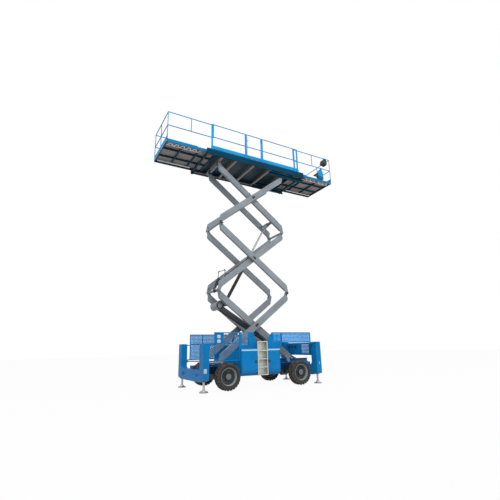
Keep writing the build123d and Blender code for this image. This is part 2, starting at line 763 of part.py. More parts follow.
def panel_group(side_name, side):
    """Frames, plates above the box and tie bars to the towers for one side."""
    y0 = panel_y - panel_thickness / 2
    y1 = panel_y + panel_thickness / 2
    rear, front = PANELS[side_name]
    shape = panel_frame(*rear) + panel_frame(*front)
    # rear frame to rear tower, front frame to front tower
    shape += block(-tower_x, rear[0] + 1, y0, y1, panel_bottom, panel_bottom + bar)
    shape += block(-tower_x, rear[0] + 1, y0, y1, panel_split - 40, panel_split - 40 + bar)
    shape += block(front[1] - 1, tower_x, y0, y1, panel_split - 40, panel_split)
    shape += block(front[1] - bar, front[1], y0, y1, panel_split - 40, panel_top)
    if side == FAR:
        shape += block(front[1] - 1, tower_x, y0, y1, panel_bottom, panel_bottom + bar)
    # upper plates: solid, with a slanted edge each side of the way in, or right across
    if side == NEAR:
        left = [(upper_back - 2, box_top), (ladder_back - 2, box_top), (ladder_back - 2, 1440),
                (ladder_back - 90, panel_top), (upper_back - 2, panel_top)]
        right = [(upper_front + 1, box_top), (ladder_front + 2, box_top), (ladder_front + 2, 1440),
                 (ladder_front + 250, panel_top), (upper_front + 1, panel_top)]
        window = (-900, -650, 1390, 1780)
        small = (ladder_front + 300, upper_front - 30, 1480, 1770)
        for points in (left, right):
            shape += slab(points, y0, y1)
        for x0, x1, z0, z1 in (window, small):
            shape -= block(x0, x1, y0 - 5, y1 + 5, z0, z1)
    else:
        shape += slab([(upper_back - 2, box_top), (front[0] + 1, box_top),
                       (front[0] + 1, panel_top), (upper_back - 2, panel_top)], y0, y1)
        for x0, x1 in ((-900, -250), (-150, box_front - 50)):
            shape -= block(x0, x1, y0 - 5, y1 + 5, 1390, 1770)
    return on_side(shape, side)


def panel_meshes(side_name, side):
    """The thin sheets that fill one side's windows."""
    rear, front = PANELS[side_name]
    sheets = []
    low = panel_bottom + bar
    if side == NEAR:
        sheets.append(mesh_sheet(rear[0] + bar, rear[1] - bar, low, panel_split))
        sheets.append(mesh_sheet(rear[0] + bar, rear[1] - bar, panel_split + bar, panel_top - bar))
        sheets.append(mesh_sheet(front[0] + bar, front[1] - bar, panel_split + bar, panel_top - bar))
        sheets.append(mesh_sheet(-900, -650, 1390, 1780))
        sheets.append(mesh_sheet(ladder_front + 300, upper_front - 30, 1480, 1770))
    else:
        for z0, z1 in ((low, panel_split), (panel_split + bar, panel_top - bar)):
            sheets.append(mesh_sheet(rear[0] + bar, -1500, z0, z1))
            sheets.append(mesh_sheet(-1500 + bar, rear[1] - bar, z0, z1))
            sheets.append(mesh_sheet(front[0] + bar, 1280, z0, z1))
            sheets.append(mesh_sheet(1280 + bar, front[1] - bar, z0, z1))
        sheets.append(mesh_sheet(-900, -250, 1390, 1770))
        sheets.append(mesh_sheet(-150, box_front - 50, 1390, 1770))
    return [on_side(sheet, side) for sheet in sheets]


for side_name, side in SIDES:
    save("guard_panels_" + side_name, panel_group(side_name, side))
    save("guard_mesh_" + side_name, *panel_meshes(side_name, side))

# ---- platform: main deck ------------------------------------------------------------------
side_beam = 60
beam_drop = 205               # underside of the side beams below the deck plate
member_drop = 115
member_depth = 50
member_width = 80
plate_z = deck_z - deck_plate
save("main_deck", block(deck_back, deck_front, -deck_half_width, deck_half_width, plate_z, deck_z))

inside_y = deck_half_width - side_beam
deck_frame = block(deck_back, deck_front, inside_y, deck_half_width, plate_z - beam_drop, plate_z)
deck_frame += flip(deck_frame)
member_xs = (deck_back + 40, foot_x, -900, centre_x, 700, tip_x + 100, deck_front - 40)
for x in member_xs:
    deck_frame += block(x - member_width / 2, x + member_width / 2, -inside_y, inside_y,
                        plate_z - member_drop - member_depth, plate_z - member_drop + 5)
hanger = block(foot_x - 70, foot_x + 70, hanger_y, hanger_y + hanger_plate,
               top_z - 60, plate_z - member_drop - member_depth + 1)
hanger -= bar_y(foot_x, top_z, fit_bore, hanger_y - 1, hanger_y + hanger_plate + 1)
deck_track_x0 = foot_x + 2 * half_span - 640
deck_track_x1 = deck_front - 5
web_y = deck_roller_y + roller_width + 3
deck_track = channel(deck_track_x0, deck_track_x1, top_z, web_y, web_y + track_web, deck_roller_y - 6)
deck_track += block(deck_track_x0, deck_track_x1, deck_roller_y - 6, web_y + track_web,
                    top_z + roller_radius + 2 + track_flange - 1,
                    plate_z - member_drop - member_depth + 1)
for side in (NEAR, FAR):
    deck_frame += on_side(hanger, side)
    deck_frame += on_side(deck_track, side)
save("deck_frame", deck_frame)

# ---- platform: guard rails ------------------------------------------------------------------
rail_r = rail_tube / 2
post_r = rail_r - 2
main_rail_y = deck_half_width - rail_r - 2
inner_rail_y = main_rail_y - rail_tube - 6
rail_z = deck_z + guard_rail_height
mid_z = deck_z + mid_rail_height
gate_back = -500
gate_front = 240
gate_gap = 42


def rail_run(x0, x1, y, zs):
    """Level rails along X at one side."""
    return joined([bar_x(y, z, rail_r, x0, x1) for z in zs])


def posts_at(xs, y, z0, z1):
    """Upright posts along X at one side."""
    return joined([bar_z(x, y, post_r, z0, z1) for x in xs])


def flat_posts_at(xs, y, z0, z1):
    """Upright flat posts along X at one side."""
    half = flat_post / 2
    return joined([block(x - half, x + half, y - post_r, y + post_r, z0, z1) for x in xs])


hinge_zs = (deck_z + 260, rail_z - 160)
gate_post_offset = 18         # flat posts stand back from the gate by this
main_posts_rear = (-1980, gate_back - gate_post_offset)
main_posts_front = (gate_front + gate_post_offset, 1875, 2040)
for side_name, side in SIDES:
    if side == NEAR:
        runs = [(-1980, gate_back), (gate_front, 2040)]
        posts = main_posts_rear + main_posts_front
    else:
        runs = [(-1980, 2040)]
        posts = (-1980, -960, 60, 1100, 2040)
    pieces = [rail_run(x0, x1, main_rail_y, (mid_z, rail_z)) for x0, x1 in runs]
    pieces.append(flat_posts_at(posts, main_rail_y, deck_z, rail_z))
    for x0, x1 in runs:
        pieces.append(block(x0, x1, main_rail_y - toe_board_thickness / 2,
                            main_rail_y + toe_board_thickness / 2, deck_z, deck_z + toe_board_height))
    if side == NEAR:
        for z in hinge_zs:
            strap = block(gate_front - gate_gap, gate_front,
                          main_rail_y - 14, main_rail_y + 14, z, z + 14)
            strap += bar_z(gate_front - gate_gap, main_rail_y, rail_r + 8, z, z + 14)
            pieces.append(strap - bar_z(gate_front - gate_gap, main_rail_y, post_r + bore_clearance,
                                        z - 1, z + 15))
    save(side_name + "_guard_rails", on_side(joined(pieces), side))

gate_x0 = gate_back + gate_gap
gate_x1 = gate_front - gate_gap
gate = joined([rail_run(gate_x0, gate_x1, main_rail_y, (mid_z, rail_z)),
               posts_at((gate_x0, gate_x1), main_rail_y, deck_z + 30, rail_z),
               block(gate_x0, gate_x1, main_rail_y - toe_board_thickness / 2,
                     main_rail_y + toe_board_thickness / 2, deck_z + 20, deck_z + toe_board_height)])
save("entry_gate", flip(gate))

# ---- platform: sliding extensions --------------------------------------------------------------
ext_plate_top = plate_z - 10
ext_plate = 12
ext_beam = 40
ext_depth = 100


def extension(outer_x, inner_x, end_rail_x, short_x, rail_inner_x):
    """A sliding deck: frame and plate, and its rails. Returns the two solids."""
    x0 = min(outer_x, inner_x)
    x1 = max(outer_x, inner_x)
    top = ext_plate_top
    half = extension_half_width
    tray = block(x0, x1, -half, half, top - ext_plate, top)
    for side in (NEAR, FAR):
        tray += block(x0, x1, side * (half - ext_beam), side * half, top - ext_depth, top)
    for x in (x0 + 20, (x0 * 2 + x1) / 3, (x0 + x1 * 2) / 3, x1 - 20):
        tray += block(x - 20, x + 20, -half, half, top - ext_depth + 10, top)
    for y in (-stringer_y, stringer_y):
        tray += block(x0, x1, y - 20, y + 20, top - ext_depth + 10, top)
    z0 = top
    pieces = []
    for side in (NEAR, FAR):
        y = side * inner_rail_y
        pieces.append(rail_run(end_rail_x, rail_inner_x, y, (mid_z, rail_z)))
        pieces.append(posts_at((end_rail_x,), y, z0, rail_z))
        pieces.append(posts_at((short_x, rail_inner_x), y, mid_z, rail_z))
    for z in (mid_z, rail_z):
        pieces.append(bar_y(end_rail_x, z, rail_r - 1, -inner_rail_y, inner_rail_y))
    pieces.append(bar_z(end_rail_x, 0, post_r, z0, rail_z))
    half_board = toe_board_thickness / 2
    pieces.append(block(end_rail_x - half_board, end_rail_x + half_board,
                        -inner_rail_y, inner_rail_y, z0, z0 + toe_board_height))
    return tray, joined(pieces)


rear_tray, rear_rails = extension(extension_back, deck_back + extension_overlap,
                                  extension_back + 20, -2810, -1910)
front_tray, front_rails = extension(extension_front, deck_front - extension_overlap,
                                    extension_front - 20, 2910, 1870)
save("rear_extension_deck", rear_tray)
save("rear_extension_rails", rear_rails)
save("front_extension_deck", front_tray)
save("front_extension_rails", front_rails)

# operator's console on the near top rail, and its cabinet on the middle rail
console_x = extension_front - 260
hook_reach = 5                # past the rail's middle, clear of the main rail beside it
console = slab([(console_x - 110, rail_z - 210), (console_x + 120, rail_z - 260),
                (console_x + 130, rail_z - 60), (console_x - 60, rail_z - 20)],
               -inner_rail_y + rail_r + 4, -inner_rail_y + rail_r + 230)
hook = block(console_x - 60, console_x + 100, -inner_rail_y - hook_reach, -inner_rail_y + rail_r + 60,
             rail_z + rail_r + seat_clearance, rail_z + rail_r + 12)
hook += block(console_x - 60, console_x + 100, -inner_rail_y + rail_r + 4, -inner_rail_y + rail_r + 16,
              rail_z - 120, rail_z + rail_r + 12)
save("control_console", console + hook)
cabinet_base = deck_z + 20    # passes over the main deck when the extension slides in
cabinet_face_y = -inner_rail_y + rail_r + 10
cabinet = slab([(3280, cabinet_base), (3560, cabinet_base), (3560, cabinet_base + 280),
                (3460, cabinet_base + 490), (3420, cabinet_base + 490), (3280, cabinet_base + 280)],
               cabinet_face_y, cabinet_face_y + 150)
strap_top = mid_z + rail_r + 8
cabinet += block(3390, 3490, cabinet_face_y - 6, cabinet_face_y + 2, cabinet_base + 200, strap_top)
cabinet += block(3390, 3490, -inner_rail_y - hook_reach, cabinet_face_y + 2,
                 mid_z + rail_r + seat_clearance, strap_top)
save("platform_cabinet", cabinet)
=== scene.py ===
import json
import math
import bmesh
import bpy
import numpy as np
from mathutils import Matrix, Vector


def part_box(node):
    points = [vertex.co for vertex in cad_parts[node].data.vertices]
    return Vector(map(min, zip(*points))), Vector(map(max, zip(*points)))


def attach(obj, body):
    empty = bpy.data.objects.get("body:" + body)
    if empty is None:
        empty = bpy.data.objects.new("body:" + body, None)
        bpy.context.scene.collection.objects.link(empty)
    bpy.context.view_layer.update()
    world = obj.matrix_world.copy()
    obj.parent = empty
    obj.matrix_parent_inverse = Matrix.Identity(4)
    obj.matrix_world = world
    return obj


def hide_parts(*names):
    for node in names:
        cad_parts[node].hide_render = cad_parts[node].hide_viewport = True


# Scissor lift on rough-terrain wheels, raised, standing with its outriggers down.
# Metres, +X towards the steered wheels, +Y towards the far side, +Z up.
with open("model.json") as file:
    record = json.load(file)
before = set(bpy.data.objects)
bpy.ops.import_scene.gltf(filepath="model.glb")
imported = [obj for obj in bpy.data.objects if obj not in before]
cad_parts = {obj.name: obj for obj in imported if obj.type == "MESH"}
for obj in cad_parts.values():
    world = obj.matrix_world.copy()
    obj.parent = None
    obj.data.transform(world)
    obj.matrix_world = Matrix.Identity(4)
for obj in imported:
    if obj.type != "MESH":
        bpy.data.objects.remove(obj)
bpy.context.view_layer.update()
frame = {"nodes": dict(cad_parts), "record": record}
parts = frame["nodes"]
NEAR = -1
FAR = 1
SIDES = (("near", NEAR), ("far", FAR))
ENDS = (("front", 1), ("rear", -1))


# ---- camera --------------------------------------------------------------------------
def aim_camera(place, yaw, pitch, roll, lens, shift):
    """Stands the camera at a place and turns it: yaw from +Y towards +X, pitch up from level."""
    yaw, pitch, roll = (math.radians(angle) for angle in (yaw, pitch, roll))
    ahead = Vector((math.sin(yaw) * math.cos(pitch), math.cos(yaw) * math.cos(pitch), math.sin(pitch)))
    level = Vector((math.cos(yaw), -math.sin(yaw), 0))
    over = level.cross(ahead)
    right = level * math.cos(roll) + over * math.sin(roll)
    above = over * math.cos(roll) - level * math.sin(roll)
    turn = Matrix((right, above, -ahead)).transposed()
    data = bpy.data.cameras.new("camera")
    data.lens = lens
    data.shift_x, data.shift_y = shift
    data.clip_end = 200
    camera = bpy.data.objects.new("camera", data)
    camera.matrix_world = Matrix.Translation(place) @ turn.to_4x4()
    bpy.context.collection.objects.link(camera)
    bpy.context.scene.camera = camera


aim_camera((-6.794, -11.662, 1.344), 29.464, 16.129, -1.181, 25.205, (0.0072, -0.010))
bpy.context.scene.view_settings.view_transform = "Standard"


# ---- shader tools --------------------------------------------------------------------
class Field:
    """A number that varies over a surface. Each operator adds one Math node."""

    def __init__(self, finish, socket):
        self.finish = finish
        self.socket = socket

    def maths(self, operation, first, second):
        return self.finish.node("ShaderNodeMath", {"operation": operation}, {0: first, 1: second})

    def __add__(self, other):
        return self.maths("ADD", self, other)

    def __sub__(self, other):
        return self.maths("SUBTRACT", self, other)

    def __rsub__(self, other):
        return self.maths("SUBTRACT", other, self)

    def __mul__(self, other):
        return self.maths("MULTIPLY", self, other)

    def larger(self, other):
        return self.maths("MAXIMUM", self, other)

    def sine(self):
        return self.maths("SINE", self, 0.0)

    def size(self):
        return self.maths("ABSOLUTE", self, 0.0)

    def root(self):
        return self.maths("SQRT", self, 0.0)

    def step(self, low, high):
        """0 below low, 1 above high, and a smooth rise between."""
        return self.finish.node("ShaderNodeMapRange", {"interpolation_type": "SMOOTHSTEP"},
                                {"Value": self, "From Min": low, "From Max": high})

    __radd__ = __add__
    __rmul__ = __mul__


class Finish:
    """A material on a Principled shader, with the fields its look is worked out from."""

    def __init__(self, name, **constants):
        self.material = bpy.data.materials.new(name)
        self.material.use_nodes = True
        self.tree = self.material.node_tree
        self.shader = self.tree.nodes["Principled BSDF"]
        for socket, value in constants.items():
            self.shader.inputs[socket.replace("_", " ")].default_value = value
        self.place = self.node("ShaderNodeTexCoord", {}, {}, "Object")
        self.facing = self.node("ShaderNodeNewGeometry", {}, {}, "Normal")

    def node(self, kind, settings, inputs, output=0):
        """Adds a node of any kind: its settings first, then the values or links of its sockets."""
        made = self.tree.nodes.new(kind)
        for key, value in settings.items():
            setattr(made, key, value)
        for key, value in inputs.items():
            if isinstance(value, Field):
                self.tree.links.new(value.socket, made.inputs[key])
            else:
                made.inputs[key].default_value = value
        return Field(self, made.outputs[output])

    def mix(self, amount, first, second):
        """One colour fading into another."""
        colours = [(*c, 1) if isinstance(c, tuple) else c for c in (first, second)]
        return self.node("ShaderNodeMix", {"data_type": "RGBA"},
                         {0: amount, 6: colours[0], 7: colours[1]}, 2)

    def noise(self, scale, detail=3.0, stretch=(1, 1, 1)):
        """Cloudy noise, about 0.3 to 0.7, finer as the scale goes up."""
        at = self.node("ShaderNodeMapping", {}, {"Vector": self.place, "Scale": stretch})
        return self.node("ShaderNodeTexNoise", {}, {"Vector": at, "Scale": scale, "Detail": detail},
                         "Fac")

    def along(self, field, axis):
        """One of a vector's three numbers, by the name of its axis."""
        return self.node("ShaderNodeSeparateXYZ", {}, {0: field}, axis)

    def edges(self, radius):
        """1 along sharp edges, from how far a rounded normal leans from the true one."""
        soft = self.node("ShaderNodeBevel", {"samples": 4}, {"Radius": radius}, "Normal")
        lean = self.node("ShaderNodeVectorMath", {"operation": "DOT_PRODUCT"},
                         {0: soft, 1: self.facing}, "Value")
        return (1 - lean).step(0.02, 0.22)

    def set(self, **fields):
        """Links fields to the shader's sockets of the same names."""
        for socket, value in fields.items():
            self.tree.links.new(value.socket, self.shader.inputs[socket.replace("_", " ")])

    def bump(self, height, depth):
        """Leans the normal as if height 1 stood out by a depth in metres."""
        normal = self.node("ShaderNodeBump", {}, {"Height": height, "Distance": depth, "Strength": 1.0},
                           "Normal")
        self.set(Normal=normal)
        return self


# ---- finishes --------------------------------------------------------------------------
DUST = (0.30, 0.25, 0.19)


def inside(look, low, high):
    """1 inside a box in the object's own place, with an edge 3 mm soft."""
    mask = None
    for axis, start, end in zip("XYZ", low, high):
        value = look.along(look.place, axis)
        side = value.step(start, start + 0.003) - value.step(end, end + 0.003)
        mask = side if mask is None else mask * side
    return mask


def paint(name, colour, chip=(0.20, 0.20, 0.20), rough=0.42, worn=0.5, grime=0.5,
          gloss=0.32, patches=()):
    """Sprayed enamel: orange peel, rain streaks, dust low down and on top, chips along edges.
    Patches are boxes, low corner, high corner and colour, where another colour is painted."""
    look = Finish(name, Specular_IOR_Level=gloss)
    height = look.along(look.place, "Z")
    upward = look.along(look.facing, "Z").step(0.5, 0.95)
    cloud = look.noise(1.4)
    streak = look.noise(5.0, 4.0, (2.2, 2.2, 0.16)).step(0.5, 0.72)
    fine = look.noise(42.0, 5.0)
    low = 1 - height.step(0.15, 1.1)
    shade = look.mix(cloud.step(0.35, 0.65), tuple(c * 0.86 for c in colour),
                     tuple(min(1, c * 1.08) for c in colour))
    for low_corner, high_corner, other in patches:
        shade = look.mix(inside(look, low_corner, high_corner), shade, other)
    shade = look.mix(streak * (0.22 * grime), shade, tuple(c * 0.45 for c in colour))
    dust = (low * 0.45 + upward * 0.22 + 0.03) * fine.step(0.35, 0.68) * grime
    shade = look.mix(dust, shade, DUST)
    chips = look.edges(0.005) * look.noise(24.0, 6.0).step(0.53, 0.60) * worn
    shade = look.mix(chips, shade, chip)
    look.set(Base_Color=shade, Roughness=dust * 0.4 + streak * 0.08 + chips * 0.2 + rough)
    return look.bump(look.noise(260.0, 1.0) * 0.25 + chips * -1.0, 0.0006).material


def from_axle(look):
    """Distance from the nearest axle's line, in metres: the two axles stand as far from the
    chassis middle, so the size of X from it serves both."""
    x = (look.along(look.place, "X") - CHASSIS_MIDDLE).size() - AXLE_REACH
    z = look.along(look.place, "Z") - AXLE_HEIGHT
    return (x * x + z * z).root()


def wheel_paint(name):
    """Cast wheel enamel: a pale rim flange, a dish darkened with painted shade, a paler hub, a
    darker outer lip painted as a ring of shadow, and mud dried in the dish.
    """
    look = Finish(name, Specular_IOR_Level=0.2)
    out = from_axle(look)
    cloud = look.noise(9.0, 5.0)
    # painted shade: dark inside the dish's recess, and a darker ring of painted shadow at the outer lip
    shade = look.mix(out.step(0.232, 0.246), (0.036, 0.044, 0.049), (0.275, 0.310, 0.325))
    shade = look.mix(1 - out.step(0.086, 0.096), shade, (0.150, 0.165, 0.180))
    shade = look.mix(out.step(0.270, 0.277), shade, (0.085, 0.095, 0.100))
    shade = look.mix(cloud.step(0.50, 0.66) * 0.30, shade, (0.20, 0.17, 0.13))
    chips = look.edges(0.004) * look.noise(30.0, 6.0).step(0.52, 0.60)
    shade = look.mix(chips * 0.6, shade, (0.13, 0.08, 0.05))
    look.set(Base_Color=shade, Roughness=cloud * 0.25 + chips * 0.2 + 0.36)
    return look.bump(look.noise(210.0, 2.0) * 0.3 + chips * -1.0, 0.0006).material


def rubber(name):
    """Moulded rubber: black walls with a worn sheen, brown earth dried between the blocks and
    thinning out down the walls."""
    look = Finish(name, Specular_IOR_Level=0.3)
    out = from_axle(look)
    mud = look.noise(11.0, 6.0)
    tone = look.mix(look.noise(3.0), (0.017, 0.018, 0.019), (0.036, 0.036, 0.037))
    deep = (1 - out.step(0.402, 0.420)) * out.step(0.372, 0.392)
    earth = (deep * 0.60 + out.step(0.340, 0.400) * 0.12 + 0.05) * mud.step(0.36, 0.62)
    look.set(Base_Color=look.mix(earth, tone, (0.150, 0.120, 0.085)), Roughness=earth * 0.25 + 0.66)
    ribs = (out * 520.0).sine().step(0.2, 0.9) * (1 - out.step(0.335, 0.345)) * out.step(0.288, 0.296)
    return look.bump(look.noise(120.0, 4.0) + ribs * 1.2, 0.0012).material


def bare_metal(name, colour, rough, scale=30.0, stretch=(1, 1, 1), depth=0.0002):
    """Metal without paint, with fine scratches drawn out along one way."""
    look = Finish(name, Metallic=1.0)
    scratch = look.noise(scale, 5.0, stretch)
    stain = look.noise(4.0, 4.0).step(0.5, 0.7)
    shade = look.mix(stain * 0.35, colour, tuple(c * 0.55 for c in colour))
    look.set(Base_Color=shade, Roughness=scratch * 0.18 + stain * 0.12 + (rough - 0.09))
    return look.bump(scratch, depth).material


def plastic(name, colour):
    """Moulded plastic with a fine leathery grain."""
    look = Finish(name, Specular_IOR_Level=0.4)
    grain = look.noise(380.0, 2.0)
    shade = look.mix(look.noise(6.0).step(0.4, 0.7) * 0.4, colour,
                     tuple(c * 1.7 + 0.01 for c in colour))
    look.set(Base_Color=shade, Roughness=grain * 0.2 + 0.45)
    return look.bump(grain, 0.0006).material


def deck_plate(name, frame_below, main_above):
    """Tread plate on top. Underneath, tan panels between bars in the deck frame's blue, darkened as
    painted shade, on the sliding decks, and a dark panel on the main deck. The outer long sides are
    blue and the ends bright, each under a dark top edge of painted shade; the other upright faces
    take the deck frame's shaded blue."""
    look = Finish(name, Specular_IOR_Level=0.2)
    x, y, z = (look.along(look.place, axis) for axis in "XYZ")
    up = look.along(look.facing, "Z")
    pitch = 2 * math.pi / TREAD_PITCH
    boss = ((x + y) * pitch).sine().larger(((x - y) * pitch).sine()).step(0.80, 0.97)
    worn = look.noise(3.0, 5.0).step(0.42, 0.66)
    top = look.mix(worn, (0.30, 0.32, 0.32), (0.37, 0.385, 0.38))
    top = look.mix(boss * 0.35, top, (0.46, 0.47, 0.46))
    stains = look.noise(2.2, 4.0).step(0.35, 0.65)
    under = look.mix(stains, tuple(c * 0.82 for c in TAN), TAN)
    under = look.mix(z.step(main_above - 0.004, main_above), under, (0.014, 0.040, 0.052))
    bars = (1 - z.step(frame_below - 0.002, frame_below))
    # bars under the sliding decks in the deck frame's blue, darkened as painted shade
    under = look.mix(bars, under, SHADED_DECK_BLUE)
    end = x.size().step(DECK_END, DECK_END + 0.004)
    outer = y.size().step(0.822, 0.826).larger(end)
    # the dark top strips on the long and end faces are painted shade, for the shaded gap along the
    # tray's top flange
    long_face = look.mix(z.step(8.490, 8.515), (0.0, 0.155, 0.340), (0.000, 0.045, 0.110))
    end_face = look.mix(z.step(8.474, 8.478), RAIL_BLUE, (0.004, 0.022, 0.045))
    # upright faces that are not outer sides take the deck frame's blue, darkened as painted shade
    side = look.mix(outer, SHADED_DECK_BLUE, look.mix(end, long_face, end_face))
    shade = look.mix(up.step(0.2, 0.6), under, top)
    shade = look.mix(1 - up.size().step(0.4, 0.7), shade, side)
    look.set(Base_Color=shade, Roughness=worn * 0.15 + 0.45)
    return look.bump(boss * up.step(0.5, 0.9), 0.0022).material


# ---- sizes of this machine, in metres ----------------------------------------------------
TREAD_PITCH = 0.042
# distances from the middle plane
LEG_Y = 0.99
TOWER_FACE = 1.145
BOX_FACE = 1.1
GUARD_Y = 1.0
RAIL_Y = 0.882
# X and Z of the fixed foot's pin, Z under the sliding decks, X where their end faces start
FOOT = (-1.625, 0.815)
UNDERSIDE = 8.3945
DECK_END = 3.838

rear_wheel, front_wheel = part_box("rim_rear_near"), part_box("rim_front_near")
AXLE_HEIGHT = (front_wheel[0][2] + front_wheel[1][2]) / 2
AXLE_REACH = (front_wheel[0][0] - rear_wheel[0][0]) / 2
CHASSIS_MIDDLE = (front_wheel[0][0] + rear_wheel[1][0]) / 2

# colours, in linear values
CHASSIS_BLUE = (0.000, 0.185, 0.480)
RAIL_BLUE = (0.000, 0.260, 0.600)
# the deck frame's blue, darkened as painted shade on its side faces and undersides
SHADED_DECK_BLUE = (0.000, 0.042, 0.082)
FRAME_SHADE = (0.000, 0.022, 0.065)
BOARD_BLUE = (0.000, 0.100, 0.240)
TAN = (0.36, 0.31, 0.28)
ARM_GREY = (0.215, 0.245, 0.275)
# pale blue painted highlight along the service boxes' rounded top edge
TOP_EDGE_HIGHLIGHT_BLUE = (0.42, 0.64, 0.80)

# boxes where a finish changes colour
near_low, near_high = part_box("service_box_near")
members = [((-2.16, -0.845, 8.330), (2.08, 0.845, 8.3915), TAN)]
# painted shade over the sides of the lower chassis rails
shaded_lower_frame = [((-2.24, -0.715, 0.40), (1.99, 0.715, 0.735), FRAME_SHADE)]
# a painted highlight along the near service box's top edge
top_edge_highlight = [((near_low[0], near_low[1] - 0.01, 1.195), (near_high[0], near_low[1] + 0.005, 1.25),
           TOP_EDGE_HIGHLIGHT_BLUE)]
labels = [((-2.435, -1.2, 0.565), (-2.335, -1.144, 0.695), (0.40, 0.55, 0.58)),
          ((2.105, -1.2, 0.66), (2.135, -1.144, 0.75), (0.30, 0.55, 0.75))]
side_boards = [((-3.90, -0.90, 8.36), (-2.18, -0.79, 8.69), BOARD_BLUE),
               ((2.30, -0.90, 8.36), (3.90, -0.79, 8.69), BOARD_BLUE)]
lower_cylinders = [((-2.0, -0.35, 1.0), (1.5, 0.35, 3.1), (0.085, 0.093, 0.095))]

FINISHES = {
    "blue_paint": paint("chassis_blue", CHASSIS_BLUE, worn=0.6, grime=0.20, gloss=0.10,
                        patches=top_edge_highlight + labels + shaded_lower_frame),
    "rail_paint": paint("rail_blue", RAIL_BLUE, worn=0.4, grime=0.2, gloss=0.18, patches=side_boards),
    # the deck frame's paint: its blue is darkened as painted shade
    "deck_blue": paint("deck_frame_shaded_blue", SHADED_DECK_BLUE, worn=0.3, grime=0.12, gloss=0.06, patches=members),
    "arm_paint": paint("arm_grey", ARM_GREY, (0.12, 0.10, 0.09), 0.42, 0.8, 0.45),
    "rim": wheel_paint("rim_grey"),
    "tyre": rubber("tyre_rubber"),
    "axle_black": paint("axle_black", (0.022, 0.022, 0.024), (0.12, 0.11, 0.10), 0.42, 0.5, 0.8),
    "cylinder_black": paint("cylinder_black", (0.026, 0.027, 0.029), (0.14, 0.14, 0.14), 0.36, 0.4, 0.3,
                            0.25, lower_cylinders),
    "chrome_rod": bare_metal("rod_chrome", (0.36, 0.385, 0.40), 0.30, 90.0, (1, 1, 6), 0.00002),
    "ladder": bare_metal("ladder_aluminium", (0.51, 0.525, 0.475), 0.50, 60.0, (1, 6, 1)),
    "leg_steel": bare_metal("leg_steel", (0.44, 0.43, 0.43), 0.38, 60.0, (1, 1, 8)),
    "deck_metal": deck_plate("deck_tread_plate", 8.47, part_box("main_deck")[0][2]),
    "black_plastic": plastic("console_plastic", (0.020, 0.020, 0.022)),
    "mesh_wire": paint("mesh_blue", (0.000, 0.285, 0.70), worn=0.2, grime=0.2, gloss=0.14),
    "cast_grey": paint("cast_hub_grey", (0.30, 0.27, 0.27), (0.14, 0.10, 0.08), 0.5, 0.5, 0.5, 0.2),
    "label_white": plastic("label_pale", (0.40, 0.53, 0.60)),
    "stop_red": plastic("stop_button_red", (0.55, 0.020, 0.015)),
    "slide_pad": plastic("slide_pad_pale", (0.66, 0.68, 0.68)),
}
SLOT_OF = {piece["node"]: piece["material_slot"] for piece in frame["record"]["subparts"]}
for node_name, node in parts.items():
    node.data.materials.clear()
    node.data.materials.append(FINISHES[SLOT_OF[node_name]])


# ---- mesh tools ------------------------------------------------------------------------
def shell(points, wrap_rows=False, wrap_columns=False):
    """Faces over a grid of points, shape (rows, columns, 3), joined round where it wraps."""
    rows, columns = points.shape[:2]
    row = np.arange(rows if wrap_rows else rows - 1)[:, None]
    column = np.arange(columns if wrap_columns else columns - 1)[None, :]
    below, beside = (row + 1) % rows, (column + 1) % columns
    quads = np.stack((row * columns + column, below * columns + column,
                      below * columns + beside, row * columns + beside), -1)
    return points.reshape(-1, 3), quads.reshape(-1, 4).tolist()


def across(axis):
    """Two directions square to an axis and to each other."""
    axis = np.asarray(axis, float) / np.linalg.norm(axis)
    helper = np.eye(3)[np.argmin(np.abs(axis))]
    first = np.cross(axis, helper)
    first /= np.linalg.norm(first)
    return axis, first, np.cross(axis, first)


def lathe(centre, axis, profile, sides=24, start=0.0):
    """A profile turned round an axis: centre + along * axis + radius * (cos, sin) of the angle.
    The profile is pairs of along and radius, and closes where its radius is 0."""
    axis, first, second = across(axis)
    along, radius = np.asarray(profile, float).T
    angle = start + np.arange(sides) * 2 * np.pi / sides
    ring = np.cos(angle)[:, None] * first + np.sin(angle)[:, None] * second
    points = centre + along[:, None, None] * axis + radius[:, None, None] * ring[None]
    return shell(points, wrap_columns=True)


def knob(centre, axis, steps, sides=24):
    """A closed turned part: a lathe whose profile starts and ends on its axis, at the along of
    its first and last step."""
    return lathe(centre, axis, [(steps[0][0], 0), *steps, (steps[-1][0], 0)], sides)


def curve(points, steps=8):
    """A Catmull-Rom line through points: each span is a cubic of its four nearest points."""
    points = np.asarray(points, float)
    padded = np.vstack((2 * points[0] - points[1], points, 2 * points[-1] - points[-2]))
    t = np.linspace(0, 1, steps, endpoint=False)[None, :, None]
    a, b, c, d = (padded[k:len(padded) - 3 + k][:, None] for k in range(4))
    line = 0.5 * (2 * b + (c - a) * t + (2 * a - 5 * b + 4 * c - d) * t ** 2
                  + (3 * b - a - 3 * c + d) * t ** 3)
    return np.vstack((line.reshape(-1, 3), points[-1]))


def pipe(line, radius, sides=10):
    """A round bar along a line, its rings square to the line and its ends closed."""
    line = np.asarray(line, float)
    ahead = np.gradient(line, axis=0)
    ahead /= np.linalg.norm(ahead, axis=1)[:, None]
    helper = np.eye(3)[np.argmin(np.abs(ahead).max(0))]
    first = np.cross(ahead, helper)
    first /= np.linalg.norm(first, axis=1)[:, None]
    second = np.cross(ahead, first)
    angle = np.arange(sides) * 2 * np.pi / sides
    ring = np.cos(angle)[:, None] * first[:, None] + np.sin(angle)[:, None] * second[:, None]
    reach = np.r_[0, np.full(len(line), radius), 0]
    middle = np.vstack((line[:1], line, line[-1:]))
    ring = np.concatenate((ring[:1], ring, ring[-1:]))
    return shell(middle[:, None] + reach[:, None, None] * ring, wrap_columns=True)


